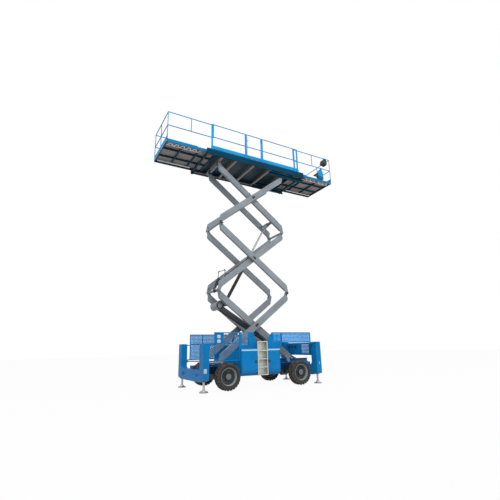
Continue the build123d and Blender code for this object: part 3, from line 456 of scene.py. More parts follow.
def strips(lows, highs):
    """Many straight flat bars at once, each a block between its two corners."""
    pick = np.array([[0, 0, 0], [1, 0, 0], [1, 1, 0], [0, 1, 0], [0, 0, 1], [1, 0, 1], [1, 1, 1],
                     [0, 1, 1]])
    sides = np.array([[3, 2, 1, 0], [4, 5, 6, 7], [0, 1, 5, 4], [1, 2, 6, 5], [2, 3, 7, 6],
                      [3, 0, 4, 7]])
    points = lows[:, None] + pick * (highs - lows)[:, None]
    first = np.arange(len(lows))[:, None, None] * 8
    return points.reshape(-1, 3), (first + sides).reshape(-1, 4).tolist()


def prism(outline, axis, start, end):
    """A flat outline, pairs in the other two axes, carried straight along one axis."""
    outline = np.asarray(outline, float)
    levels = [np.insert(outline, axis, level, axis=1) for level in (start, end)]
    points, walls = shell(np.stack(levels), wrap_columns=True)
    count = len(outline)
    return points, walls + [list(range(count))[::-1], list(range(count, 2 * count))]


def box(low, high):
    """A block between two corners. Its piece gives it rounded edges when the piece is given a bevel."""
    return prism([(low[0], low[1]), (high[0], low[1]), (high[0], high[1]), (low[0], high[1])], 2,
                 low[2], high[2])


def bolt(place, axis, size):
    """A washer, a chamfered hexagon head and the end of the screw, standing on a face."""
    place = np.asarray(place, float)
    washer = knob(place, axis, [(0, size), (size * 0.14, size)], 16)
    head = knob(place, axis, [(0, size * 0.78), (size * 0.62, size * 0.78), (size * 0.72, size * 0.62)],
                6)
    screw = knob(place, axis, [(0, size * 0.36), (size * 0.9, size * 0.36), (size, size * 0.28)], 10)
    return [washer, head, screw]


def piece(name, body, finish, shells, stands_for=(), bevel=0.0, smooth=35):
    """One object from closed shells: doubles merged, faces outwards, on its body, in a finish
    by name."""
    mesh = bpy.data.meshes.new(name)
    points, faces, count = [], [], 0
    for corners, sides in shells:
        points.append(corners)
        faces += [[index + count for index in side] for side in sides]
        count += len(corners)
    mesh.from_pydata(np.vstack(points).tolist(), [], faces)
    work = bmesh.new()
    work.from_mesh(mesh)
    bmesh.ops.dissolve_degenerate(work, dist=1e-6, edges=work.edges)
    bmesh.ops.remove_doubles(work, verts=work.verts, dist=2e-6)
    bmesh.ops.recalc_face_normals(work, faces=work.faces)
    work.to_mesh(mesh)
    work.free()
    mesh.shade_smooth()
    mesh.set_sharp_from_angle(angle=math.radians(smooth))
    mesh.materials.append(FINISHES[finish])
    made = bpy.data.objects.new(name, mesh)
    bpy.context.collection.objects.link(made)
    if bevel:
        rounding = made.modifiers.new("rounded edges", "BEVEL")
        rounding.width = bevel
        rounding.segments = 2
        rounding.limit_method = "ANGLE"
    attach(made, body)
    finish in SLOT_OF.values()
    if stands_for:
        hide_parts(*stands_for)
    return made


def centre_of(node):
    """The middle of a node's box, and half its size."""
    low, high = (np.array(corner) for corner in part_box(node))
    return (low + high) / 2, (high - low) / 2


# ---- wheels ------------------------------------------------------------------------------
TREAD_BARS = 23
TREAD_DEPTH = 0.030


def tread_height(angle, side):
    """1 on a block and 0 in a groove. Blocks are slanted bars, half a pitch apart on the two
    halves: the distance of (angle + slant) from the middle of its pitch, cut to an edge."""
    slant = 0.85 * np.abs(side) + 0.12 * np.sin(np.abs(side) * 9)
    phase = (angle * TREAD_BARS / (2 * np.pi) + np.where(side > 0, 0.5, 0.0) + slant) % 1
    block = np.clip((0.27 - np.abs(phase - 0.5)) / 0.07 + 0.5, 0, 1)
    groove = np.clip((np.abs(side) - 0.07) / 0.06, 0, 1)
    return block * groove


def tyre(tag):
    """A closed ring. Its section runs from bead to bead over the tread and back inside, and
    the grooves of the tread are cut into it along its outward direction."""
    middle, half = centre_of("tyre_" + tag)
    radius, width = half[2], half[1]
    reach = np.array([0.283, 0.300, 0.318, 0.334, 0.338, 0.350, 0.372, 0.392, 0.407, 0.417, 0.423,
                      0.425]) / 0.425
    side = np.array([0.112, 0.128, 0.139, 0.143, 0.149, 0.150, 0.149, 0.140, 0.126, 0.108, 0.088,
                     0.0]) / 0.150
    spots = np.linspace(0, 1, 30) ** 0.9 * (len(reach) - 1)
    reach = np.interp(spots, np.arange(len(reach)), reach) * radius
    side = np.interp(spots, np.arange(len(side)), side)
    reach = np.r_[reach, reach[-2::-1]]
    side = np.r_[side, -side[-2::-1]]
    turn = np.arange(TREAD_BARS * 15) * 2 * np.pi / (TREAD_BARS * 15)
    angle, side_grid = np.meshgrid(turn, side, indexing="ij")
    weight = np.clip((reach / radius - 0.885) / 0.05, 0, 1)
    cut = TREAD_DEPTH * weight * (1 - tread_height(angle, side_grid))
    lean = np.clip((np.abs(side) - 0.78) / 0.22, 0, 1)
    out = reach - cut * (1 - 0.5 * lean)
    sideways = (side * width) - np.sign(side) * cut * 0.5 * lean
    points = np.stack((middle[0] + out * np.cos(angle), middle[1] + sideways,
                       middle[2] + out * np.sin(angle)), -1)
    piece("tyre_" + tag + "_tread", "wheel_" + tag, "tyre",
          [shell(points, wrap_rows=True, wrap_columns=True)], ("tyre_" + tag,), smooth=50)


def wheel_fixings(tag, outward):
    """A ring of nuts on the wheel's disc, the screws of its hub cover, and a valve."""
    middle, _ = centre_of("rim_" + tag)
    axis = np.array((0, outward, 0))
    centre = np.array((middle[0], outward * 1.000, middle[2]))
    shells = []
    for angle in np.arange(9) * 2 * np.pi / 9:
        spot = np.array((math.cos(angle), 0, math.sin(angle)))
        shells += bolt(centre + 0.125 * spot, axis, 0.017)
    for angle in np.arange(6) * 2 * np.pi / 6:
        spot = np.array((math.cos(angle), 0, math.sin(angle)))
        shells += bolt(np.array((middle[0], outward * 1.0845, middle[2])) + 0.044 * spot, axis, 0.008)
    stem = centre + np.array((0.205, outward * 0.004, 0))
    shells.append(pipe(curve([stem, stem + axis * 0.022, stem + axis * 0.05 + (0.012, 0, 0)]), 0.005))
    piece("wheel_fixings_" + tag, "wheel_" + tag, "rim", shells)


for end_name, _ in ENDS:
    for side_name, side in SIDES:
        tyre(end_name + "_" + side_name)
        wheel_fixings(end_name + "_" + side_name, side)


# ---- guard mesh ----------------------------------------------------------------------------
# strip width and pitch of each sheet, and its thickness
WOVEN = (0.0036, 0.050)
PUNCHED = (0.0300, 0.0460)
SHEET = 0.0030


def windows(node):
    """The low and high corners of each separate sheet in a node. They are sorted, because a set
    of vertices is in a different order each run."""
    work = bmesh.new()
    work.from_mesh(parts[node].data)
    bmesh.ops.remove_doubles(work, verts=work.verts, dist=1e-5)
    waiting, found = set(work.verts), []
    while waiting:
        group, edge = set(), [waiting.pop()]
        while edge:
            vert = edge.pop()
            group.add(vert)
            fresh = {link.other_vert(vert) for link in vert.link_edges} & waiting
            waiting -= fresh
            edge += fresh
        corners = np.array([vert.co for vert in group])
        found.append((corners.min(0), corners.max(0)))
    work.free()
    return sorted(found, key=lambda sheet: sheet[0].tolist())


def lattice(low, high, through, width, pitch):
    """Upright strips over a window, and level strips 0.3 mm thinner on each face, with square
    holes left between. Through is the axis of the sheet's thickness. Strip k is centred on
    low + k * span / count."""
    middle = (low[through] + high[through]) / 2
    shells = []
    for run, half in ((1 - through, SHEET / 2), (2, SHEET / 2 - 0.0003)):
        spots = np.linspace(low[run], high[run], int((high[run] - low[run]) / pitch) + 1)
        first, last = (np.tile(np.asarray(corner, float), (len(spots), 1)) for corner in (low, high))
        first[:, run] = np.maximum(spots - width / 2, low[run])
        last[:, run] = np.minimum(spots + width / 2, high[run])
        first[:, through], last[:, through] = middle - half, middle + half
        shells.append(strips(first, last))
    return shells


def guard_mesh(side_name):
    """The sheets in the guards' windows: open woven wire over the rear arms, punched elsewhere."""
    shells = []
    for low, high in windows("guard_mesh_" + side_name):
        weave = WOVEN if side_name == "near" and high[0] < 0 else PUNCHED
        shells += lattice(low, high, 1, *weave)
    piece("guard_sheet_" + side_name, "chassis", "mesh_wire", shells, ("guard_mesh_" + side_name,))


for side_name, _ in SIDES:
    guard_mesh(side_name)


# ---- outrigger towers and legs -----------------------------------------------------------
def tower_trim(end_name, end, side_name, side):
    """On a tower: a bolted cover on top, a collar where the leg comes out, and two rows of
    bolts down its end face, which hold the leg's cylinder inside."""
    leg_middle, _ = centre_of("outrigger_leg_" + end_name + "_" + side_name)
    x, y = leg_middle[0], side * LEG_Y
    outward = side * TOWER_FACE
    cover = [box((x - 0.085, min(outward, outward - side * 0.27), 1.449),
                 (x + 0.085, max(outward, outward - side * 0.27), 1.458))]
    shells = []
    for dx in (-0.06, 0.06):
        for dy in (0.03, 0.24):
            shells += bolt((x + dx, outward - side * dy, 1.4575), (0, 0, 1), 0.011)
    collar = [lathe((x, y, 0.316), (0, 0, 1), [(0, 0.037), (0, 0.062), (0.004, 0.066), (0.030, 0.066),
                                               (0.030, 0.037)], 28)]
    end_face = x + end * 0.100
    for z in (0.62, 0.88, 1.14, 1.36):
        for dy in (-0.055, 0.055):
            shells += bolt((end_face - end * 0.001, y + dy, z), (end, 0, 0), 0.010)
    tag = end_name + "_" + side_name
    piece("tower_cover_" + tag, "chassis", "blue_paint", cover + collar, bevel=0.002)
    piece("tower_bolts_" + tag, "chassis", "blue_paint", shells)


def leg_trim(end_name, side_name, side):
    """On a leg: the swivel cup above the pad with its gland and the four bolts that hold it."""
    middle, _ = centre_of("outrigger_leg_" + end_name + "_" + side_name)
    spot = np.array((middle[0], side * LEG_Y, 0.0))
    shells = [knob(spot, (0, 0, 1), [(0.037, 0.068), (0.050, 0.071), (0.060, 0.068), (0.072, 0.062),
                                     (0.078, 0.048), (0.080, 0.0352)], 28)]
    for angle in np.arange(4) * np.pi / 2 + np.pi / 4:
        shells += bolt(spot + (0.113 * math.cos(angle), 0.113 * math.sin(angle), 0.0385), (0, 0, 1),
                       0.010)
    piece("pad_cup_" + end_name + "_" + side_name, "leg_" + end_name + "_" + side_name, "leg_steel",
          shells)


for end_name, end in ENDS:
    for side_name, side in SIDES:
        tower_trim(end_name, end, side_name, side)
        leg_trim(end_name, side_name, side)


# ---- service boxes -------------------------------------------------------------------------
def latch(name, body, x, z, side):
    """A pull latch: a rounded black bezel, the paddle standing out of it, and its lock."""
    face = side * BOX_FACE
    bezel = prism([(x + sx * w, z + sz * h) for sx, sz, w, h in (
        (-1, -1, 0.050, 0.030), (-1, -1, 0.042, 0.038), (1, -1, 0.042, 0.038), (1, -1, 0.050, 0.030),
        (1, 1, 0.050, 0.030), (1, 1, 0.042, 0.038), (-1, 1, 0.042, 0.038), (-1, 1, 0.050, 0.030))],
        1, face - side * 0.003, face + side * 0.006)
    paddle = prism([(face + side * 0.005, z - 0.026), (face + side * 0.018, z - 0.024),
                    (face + side * 0.016, z + 0.008), (face + side * 0.008, z + 0.022),
                    (face + side * 0.005, z + 0.022)], 0, x - 0.036, x + 0.030)
    lock = knob((x + 0.038, face + side * 0.005, z), (0, side, 0), [(0, 0.008), (0.006, 0.007)], 14)
    piece(name, body, "black_plastic", [bezel, paddle, lock], bevel=0.0012)


def hinge_leaves(name, body, x, zs, side, away):
    """Two leaves and a three-part knuckle at each height, with their screws."""
    leaves, screws = [], []
    for z in zs:
        leaves.append(box((min(x, x + away * 0.060), side * BOX_FACE - 0.0025, z - 0.045),
                          (max(x, x + away * 0.060), side * BOX_FACE + 0.0025, z + 0.045)))
        for k in (-1, 0, 1):
            leaves.append(knob((x, side * (BOX_FACE + 0.0035), z + k * 0.030 - 0.0135), (0, 0, 1),
                               [(0, 0.006), (0.002, 0.0075), (0.025, 0.0075), (0.027, 0.006)], 14))
        for dz in (-0.028, 0.028):
            screws += bolt((x + away * 0.040, side * (BOX_FACE + 0.0024), z + dz), (0, side, 0), 0.0065)
    piece(name + "_leaves", body, "blue_paint", leaves, bevel=0.0008)
    piece(name + "_screws", body, "leg_steel", screws)


def louvres(name, body, x0, x1, z0, z1, side):
    """Pressed louvres: each is a slanted hood that leans out from the door by 9 mm."""
    shells = []
    face = side * BOX_FACE
    for z in np.arange(z0, z1, 0.045):
        hood = [(face - side * 0.001, z), (face + side * 0.009, z + 0.004),
                (face + side * 0.009, z + 0.008), (face - side * 0.001, z + 0.030)]
        shells.append(prism(hood, 0, x0, x1))
    piece(name, body, "blue_paint", shells, bevel=0.0015)


HINGE_INSET = 0.034
LATCH_INSET = 0.07
LATCH_HEIGHT = 0.85
HINGE_HEIGHTS = (0.66, 1.15)
for part, near_x, away in (("rear", -0.535, 1), ("front", -0.018, -1)):
    for side_name, side in SIDES:
        low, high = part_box("door_" + part + "_" + side_name)
        body = part + "_door_" + side_name
        hinge_x, far_x = low[0] + HINGE_INSET, high[0] - LATCH_INSET
        if part == "front":
            hinge_x, far_x = high[0] - HINGE_INSET, low[0] + LATCH_INSET
        latch("latch_" + part + "_" + side_name, body, near_x if side == NEAR else far_x,
              LATCH_HEIGHT, side)
        hinge_leaves("hinge_" + part + "_" + side_name, body, hinge_x, HINGE_HEIGHTS, side, away)
        if side == FAR:
            louvres("louvres_" + part, body, low[0] + 0.12, high[0] - 0.12, 0.93, 1.17, side)


# ---- chassis details ---------------------------------------------------------------------
def wall_plugs():
    """Rubber grommets with domed middles in the front wall's three round holes."""
    shells = []
    for y in (0.78, 0.57, 0.36):
        shells.append(lathe((2.194, y, 1.29), (1, 0, 0), [(0, 0), (0, 0.044), (0.002, 0.0495),
                                                          (0.024, 0.0495), (0.026, 0.044),
                                                          (0.020, 0.030), (0.018, 0)], 28))
        shells.append(lathe((2.1965, y, 1.29), (-1, 0, 0), [(0, 0.040), (0, 0.060), (0.006, 0.060),
                                                            (0.009, 0.052), (0.009, 0.040)], 28))
    piece("wall_plugs", "chassis", "black_plastic", shells)


def label_plate():
    """A framed plate in the rear corner of the near guard, with two blank labels on it."""
    y = -GUARD_Y
    low, high = (-1.995, 1.455), (-1.725, 1.770)
    plate = box((low[0], y - 0.006, low[1]), (high[0], y + 0.004, high[1]))
    rib = box((high[0], y - 0.012, low[1]), (high[0] + 0.030, y + 0.012, high[1]))
    piece("corner_plate", "chassis", "blue_paint", [plate, rib], bevel=0.0015)
    labels, screws = [], []
    for z in (1.520, 1.665):
        labels.append(box((-1.925, y - 0.0085, z - 0.050), (-1.805, y - 0.0055, z + 0.050)))
        for dx, dz in ((-0.052, -0.042), (0.052, 0.042), (-0.052, 0.042), (0.052, -0.042)):
            screws += bolt((-1.865 + dx, y - 0.0083, z + dz), (0, -1, 0), 0.0045)
    piece("blank_labels", "chassis", "label_white", labels, bevel=0.0008)
    piece("label_screws", "chassis", "leg_steel", screws)


def foot_rods():
    """The long pin beside each fixed foot: a level rod from the tower to the foot's plate, with a
    bracket at the tower and an eye at the plate, and a hub cover over the foot's pin."""
    rods, hubs = [], []
    for side in (NEAR, FAR):
        y = side * 0.785
        rods.append(pipe([(-2.262, y, 0.868), (-1.700, y, 0.858)], 0.021, 16))
        rods.append(knob((-1.700, y - side * 0.012, 0.858), (0, side, 0),
                         [(0, 0.034), (0.004, 0.038), (0.020, 0.038), (0.024, 0.034)], 20))
        rods.append(box((-2.262, min(y, side * 0.86), 0.83), (-2.235, max(y, side * 0.86), 0.905)))
        rods.append(pipe([(-1.700, side * 0.69, 0.858), (-1.700, y, 0.858)], 0.014, 14))
        hubs.append(knob((FOOT[0], side * 0.699, FOOT[1]), (0, side, 0),
                         [(0, 0.062), (0.010, 0.066), (0.018, 0.062), (0.022, 0.045), (0.034, 0.040),
                          (0.038, 0.030)], 28))
        for angle in np.arange(6) * np.pi / 3:
            hubs += bolt((FOOT[0] + 0.053 * math.cos(angle), side * 0.718,
                          FOOT[1] + 0.053 * math.sin(angle)), (0, side, 0), 0.006)
    piece("foot_rods", "chassis", "leg_steel", rods, bevel=0.001)
    piece("foot_hubs", "chassis", "cast_grey", hubs)


def muffler():
    """The exhaust silencer ahead of the far box: a drum with rolled ends on two saddles, a
    shelf that stands on the box, and its tail pipe turned outwards and cut square."""
    x0, x1, y, z = 0.58, 0.98, 0.86, 1.548
    drum = [(0.0, 0.0), (0.004, 0.050), (0.012, 0.074), (0.020, 0.080), (0.030, 0.078), (0.036, 0.074),
            (x1 - x0 - 0.036, 0.074), (x1 - x0 - 0.030, 0.078), (x1 - x0 - 0.020, 0.080),
            (x1 - x0 - 0.012, 0.074), (x1 - x0 - 0.004, 0.050), (x1 - x0, 0.0)]
    shells = [lathe((x0, y, z), (1, 0, 0), drum, 32)]
    tail = curve([(x0 + 0.01, y, z), (x0 - 0.05, y, z), (x0 - 0.09, y + 0.015, z),
                  (x0 - 0.10, y + 0.07, z), (x0 - 0.10, y + 0.125, z)])
    shells.append(pipe(tail, 0.024, 16))
    shells.append(box((0.300, y - 0.075, 1.4535), (x1 - 0.02, y + 0.075, 1.4615)))
    for side in (-1, 1):
        shells.append(prism([(0.302, 1.275), (0.420, 1.275), (x1 - 0.10, 1.440), (x1 - 0.04, 1.4555),
                             (0.302, 1.4555)], 1, y + side * 0.068 - 0.003, y + side * 0.068 + 0.003))
    for x in (x0 + 0.08, x1 - 0.08):
        shells.append(prism([(y - 0.080, 1.461), (y + 0.080, 1.461), (y + 0.070, 1.470),
                             (y + 0.050, 1.500), (y - 0.050, 1.500), (y - 0.070, 1.470)], 0, x - 0.014,
                            x + 0.014))
        shells.append(lathe((x - 0.012, y, z), (1, 0, 0), [(0, 0.073), (0, 0.0795), (0.024, 0.0795),
                                                           (0.024, 0.073)], 32))
    piece("silencer", "chassis", "axle_black", shells)


def rear_hydraulics():
    """A valve block on the rear beam with its coils, fittings and the pipes that lead off it."""
    block = [box((-2.300, -0.36, 0.655), (-2.215, -0.16, 0.735)),
             box((-2.285, -0.33, 0.735), (-2.23, -0.19, 0.765))]
    block.append(box((-2.300, 0.08, 0.655), (-2.200, 0.22, 0.725)))
    ports = (-0.325, -0.26, -0.195)
    coils = []
    for y in ports:
        coils.append(knob((-2.258, y, 0.764), (0, 0, 1), [(0, 0.022), (0.048, 0.022), (0.052, 0.019),
                                                          (0.052, 0.010), (0.070, 0.010),
                                                          (0.072, 0.007)], 18))
        coils.append(knob((-2.216, y, 0.695), (1, 0, 0), [(0, 0.017), (0.016, 0.017), (0.016, 0.012),
                                                          (0.034, 0.012)], 6))
    pipes = []
    for k, y in enumerate(ports):
        run, z = -0.326 + 0.023 * k, 0.600 + 0.026 * k
        pipes.append(pipe(curve([(-2.20, y, 0.695), (-2.16, y, 0.69), (-2.13, y, z + 0.01),
                                 (-2.06, y - 0.01, z), (-1.90, run, z), (-1.40, run, z),
                                 (-0.90, run, z)]), 0.0105, 12))
    piece("valve_block", "chassis", "cylinder_black", block + coils + pipes, bevel=0.0012)


def wall_window():
    """A punched sheet in the front wall's window, laid across Y and Z."""
    x = 2.196
    shells = lattice((x, -0.492, 1.028), (x, -0.018, 1.392), 0, *PUNCHED)
    piece("wall_window_sheet", "chassis", "mesh_wire", shells)


wall_window()
wall_plugs()
label_plate()
foot_rods()
muffler()
rear_hydraulics()


# ---- arms ----------------------------------------------------------------------------------
ARM_PITCH = 3.756
ARM_SLOPE = math.radians(41.3)
PIN_OFFSET = 0.125
ARM_TURN = ARM_SLOPE - math.asin(PIN_OFFSET / (ARM_PITCH / 2))
STAGE_RISE = ARM_PITCH * math.sin(ARM_SLOPE)
CROSS_X = FOOT[0] + ARM_PITCH * math.cos(ARM_SLOPE) / 2
TIP_X = FOOT[0] + ARM_PITCH * math.cos(ARM_SLOPE)
ARM_EDGE = 0.110


def on_arm(stage, rising, along, over):
    """X and Z of a point on an arm: along its body from the middle, and over its middle line.
    The body is turned from the level by the arms' slope less the lean of its line of pins."""
    x = along * math.cos(ARM_TURN) - over * math.sin(ARM_TURN)
    z = along * math.sin(ARM_TURN) + over * math.cos(ARM_TURN)
    return CROSS_X + (x if rising else -x), FOOT[1] + (stage - 0.5) * STAGE_RISE + z


def at(point, y):
    """A point given by its X and Z, at a Y."""
    return (point[0], y, point[1])


def pin_ends(name, body, x, z, reach, keeper):
    """Round end caps on a pivot's two outer ends: a stepped cap, its grease nipple, and the
    keeper plate held by two bolts, lying along the keeper's direction."""
    caps, screws = [], []
    for side in (NEAR, FAR):
        face = side * reach
        caps.append(knob((x, face - side * 0.002, z), (0, side, 0),
                         [(0, 0.050), (0.006, 0.052), (0.009, 0.048), (0.009, 0.034), (0.014, 0.031)],
                         28))
        screws.append(lathe((x, face + side * 0.011, z), (0, side, 0),
                            [(0, 0), (0, 0.006), (0.004, 0.006), (0.005, 0.003), (0.006, 0)], 10))
        dx, dz = 0.078 * math.cos(keeper), 0.078 * math.sin(keeper)
        for k in (-1, 1):
            screws += bolt((x + dx + k * 0.020 * math.sin(keeper), face + side * 0.0040,
                            z + dz - k * 0.020 * math.cos(keeper)), (0, side, 0), 0.007)
        wide = 0.034
        corners = [(0.030, -wide), (0.100, -wide), (0.100, wide), (0.030, wide)]
        outline = [(x + a * math.cos(keeper) - b * math.sin(keeper),
                    z + a * math.sin(keeper) + b * math.cos(keeper)) for a, b in corners]
        caps.append(prism(outline, 1, face - side * 0.002, face + side * 0.0045))
    piece(name + "_caps", body, "axle_black", caps, bevel=0.0012)
    piece(name + "_screws", body, "leg_steel", screws)


for stage, x, turn in ((1, TIP_X, math.radians(215)), (2, FOOT[0], math.radians(-35))):
    pin_ends("tip_pin_" + str(stage), "stage" + str(stage) + "_outer", x, FOOT[1] + stage * STAGE_RISE,
             0.658, turn)
for stage in (1, 2, 3):
    slope = ARM_TURN if stage != 2 else math.pi - ARM_TURN
    pin_ends("centre_pin_" + str(stage), "stage" + str(stage) + "_outer", CROSS_X,
             FOOT[1] + (stage - 0.5) * STAGE_RISE, 0.650, slope)


def arm_pipes(name, body, stage, rising, y, start, end, over=ARM_EDGE + 0.022, count=2):
    """Hydraulic pipes side by side along an arm's upper edge, held by clamps every half metre."""
    pipes, clamps, screws = [], [], []
    spread = (np.arange(count) - (count - 1) / 2) * 0.030
    for dy in spread:
        line = [(start - 0.05, over - 0.055), (start - 0.012, over - 0.035), (start + 0.03, over),
                (start + 0.10, over), (end - 0.10, over), (end - 0.03, over),
                (end + 0.012, over - 0.035), (end + 0.05, over - 0.055)]
        pipes.append(pipe(curve([at(on_arm(stage, rising, a, b), y + dy) for a, b in line], 5), 0.0085,
                          10))
    half = spread[-1] + 0.022
    for spot in np.arange(start + 0.16, end - 0.1, 0.48):
        saddle = ((-0.020, ARM_EDGE - 0.002), (0.020, ARM_EDGE - 0.002), (0.020, over + 0.010),
                  (0.014, over + 0.015), (-0.014, over + 0.015), (-0.020, over + 0.010))
        outline = [on_arm(stage, rising, spot + a, b) for a, b in saddle]
        clamps.append(prism(outline, 1, y - half, y + half))
        x, z = on_arm(stage, rising, spot, over + 0.0145)
        tilt = (-math.sin(ARM_TURN) * (1 if rising else -1), 0, math.cos(ARM_TURN))
        screws += bolt((x, y, z), tilt, 0.006)
    piece(name + "_pipes", body, "cylinder_black", pipes)
    piece(name + "_clamps", body, "black_plastic", clamps, bevel=0.0015)
    piece(name + "_clamp_screws", body, "leg_steel", screws)


arm_pipes("stage1_line", "stage1_inner", 1, False, -0.47, -1.40, -0.22)
arm_pipes("stage2_line", "stage2_inner", 2, True, -0.47, -1.40, -0.22)
arm_pipes("stage3_line", "stage3_inner", 3, False, -0.47, -1.40, 0.72)


def hose_guide():
    """A bent hoop over the near inner arm of stage 2 that steers hoses: one smooth line through
    its corner points, with a ball on each tip that stands past the level bar."""
    y = -0.372
    feet = [(-1.672, 3.440), (-1.300, 3.705)]
    tips = [(-1.579, 3.940), (-1.351, 4.030)]
    shells = []
    for foot, tip in zip(feet, tips):
        foot, tip = np.array(foot), np.array(tip)
        shells.append(pipe(curve([at(foot, -0.424), at(foot, y), at((foot + tip) / 2, y), at(tip, y)],
                                 5), 0.011, 12))
        away = (tip - foot) / np.linalg.norm(tip - foot)
        shells.append(lathe(at(tip, y), at(away, 0), [(0, 0), (0.002, 0.013), (0.012, 0.019),
                                                      (0.026, 0.019), (0.038, 0.010), (0.040, 0)], 14))
    bar = [np.array(tips[0]) + (-0.035, -0.020), np.array(tips[0]), np.array(tips[1]),
           np.array(tips[1]) + (0.050, -0.030)]
    shells.append(pipe(curve([at(point, y) for point in bar], 5), 0.011, 12))
    piece("hose_guide", "stage2_inner", "cylinder_black", shells)


def tip_manifold():
    """A valve block above the left tips of stages 1 and 2, and three bent pipes that loop round
    the outside of the pivot tube to its far end, on arcs 0.100 to 0.124 from the pin."""
    y0, y1 = -0.395, -0.215
    pin = np.array((FOOT[0], FOOT[1] + STAGE_RISE))

    def outline(a0, a1, b0, b1):
        """A rectangle on the arm, along it and over it, as X and Z."""
        return [on_arm(2, True, a, b) for a, b in ((a0, b0), (a1, b0), (a1, b1), (a0, b1))]

    block = [prism(outline(-1.74, -1.52, 0.020, 0.120), 1, y0, y1),
             prism(outline(-1.70, -1.56, 0.118, 0.150), 1, y0 + 0.02, y1 - 0.02),
             prism(outline(-1.78, -1.48, -0.050, 0.060), 1, y0 - 0.028, y0 + 0.008)]
    up = (-math.sin(ARM_TURN), 0, math.cos(ARM_TURN))
    for along in (-1.68, -1.63, -1.58):
        block.append(lathe(at(on_arm(2, True, along, 0.148), y0 + 0.05), up,
                           [(0, 0), (0, 0.017), (0.040, 0.017), (0.044, 0.013), (0.044, 0.008),
                            (0.056, 0.008), (0.058, 0)], 14))
    for k, y in enumerate((-0.365, -0.310, -0.255)):
        line = [at(on_arm(2, True, -1.70, 0.070), y), at(on_arm(2, True, -1.765, 0.078), y)]
        for angle in np.radians((118, 155, 192, 229)):
            line.append((pin[0] + (0.100 + 0.012 * k) * math.cos(angle), y,
                         pin[1] + (0.100 + 0.012 * k) * math.sin(angle)))
        line.append((pin[0] + 0.035 * math.cos(math.radians(265)), y,
                     pin[1] + 0.035 * math.sin(math.radians(265))))
        block.append(pipe(curve(line, 6), 0.0135, 12))
        block.append(knob(at(on_arm(2, True, -1.738, 0.072), y), np.subtract(line[1], line[0]),
                          [(0, 0.020), (0.020, 0.020), (0.022, 0.017)], 6))
    piece("tip_manifold", "stage2_inner", "cylinder_black", block, bevel=0.0012)


tip_manifold()
hose_guide()


# ---- platform details ----------------------------------------------------------------------
def post_plates():
    """A plate bolted over the foot of each flat post, on the outside of the deck's side beam."""
    plates, screws = [], []
    near_posts = (-2.105, -0.643, 0.133, 1.750, 1.915)
    far_posts = (-2.105, -1.085, -0.065, 0.975, 1.915)
    for side, places in ((NEAR, near_posts), (FAR, far_posts)):
        for x in places:
            face = side * 0.9045
            plates.append(box((x - 0.046, min(face, side * 0.878), 8.520),
                              (x + 0.046, max(face, side * 0.878), 8.650)))
            for dx in (-0.030, 0.030):
                for z in (8.542, 8.628):
                    screws += bolt((x + dx, face - side * 0.0005, z), (0, side, 0), 0.0085)
    piece("post_plates", "platform", "rail_paint", plates, bevel=0.002)
    piece("post_plate_bolts", "platform", "rail_paint", screws)


def post_caps():
    """Domed plastic caps on the open ends of the level rails, and buffers under the beams' ends."""
    shells = []
    for side in (NEAR, FAR):
        for x, away in ((-2.105, -1), (1.915, 1)):
            for z in (9.058, 9.605):
                shells.append(lathe((x + away * 0.0005, side * RAIL_Y, z), (away, 0, 0),
                                    [(0, 0), (0, 0.0185), (0.004, 0.0175), (0.008, 0.012), (0.010, 0)],
                                    16))
        for x0, x1 in ((-2.290, -2.210), (2.120, 2.200)):
            shells.append(box((x0, side * 0.870 - 0.026, 8.264), (x1, side * 0.870 + 0.026, 8.300)))
    piece("deck_buffers", "platform", "black_plastic", shells, bevel=0.004)


def under_lattice(name, body, x0, x1):
    """Under a sliding deck: a zigzag of flat bars along its near side, and a pale slide strip
    along its far side, all flush with the lowest edge."""
    step = 0.115
    shells = []
    for k, x in enumerate(np.arange(x0, x1 - step, step)):
        first, last = (-0.785, -0.600) if k % 2 else (-0.600, -0.785)
        shells.append(prism([(x - 0.012, first), (x + 0.030, first), (x + step + 0.012, last),
                             (x + step - 0.030, last)], 2, 8.3950, 8.4025))
    shells.append(box((x0 - 0.02, -0.795, UNDERSIDE), (x1, -0.775, 8.4030)))
    shells.append(box((x0 - 0.02, -0.610, UNDERSIDE), (x1, -0.590, 8.4030)))
    piece(name + "_zigzag", body, "slide_pad", shells, bevel=0.0008)
    strip = [box((x0, 0.610, UNDERSIDE), (x1, 0.680, 8.4035))]
    screws = []
    for x in np.arange(x0 + 0.08, x1, 0.26):
        screws += bolt((x, 0.645, 8.3965), (0, 0, -1), 0.0035)
    piece(name + "_slide", body, "slide_pad", strip, bevel=0.001)
    piece(name + "_slide_screws", body, "leg_steel", screws)


def gate_latch():
    """A spring bolt on the gate's free post: its housing with two screws, the bolt and a knob."""
    x, y, z = -0.585, -RAIL_Y, 9.330
    shells = [box((x - 0.018, y - 0.028, z - 0.030), (x + 0.030, y - 0.016, z + 0.030)),
              knob((x - 0.032, y - 0.022, z), (1, 0, 0),
                   [(0, 0.0075), (0.060, 0.0075), (0.066, 0.0055)], 14),
              knob((x + 0.012, y - 0.027, z), (0, -1, 0), [(0, 0.006), (0.012, 0.006), (0.016, 0.010),
                                                           (0.024, 0.010), (0.027, 0.007)], 14)]
    for dz in (-0.022, 0.022):
        shells += bolt((x + 0.020, y - 0.0275, z + dz), (0, -1, 0), 0.005)
    piece("gate_latch", "gate", "leg_steel", shells, bevel=0.0008)


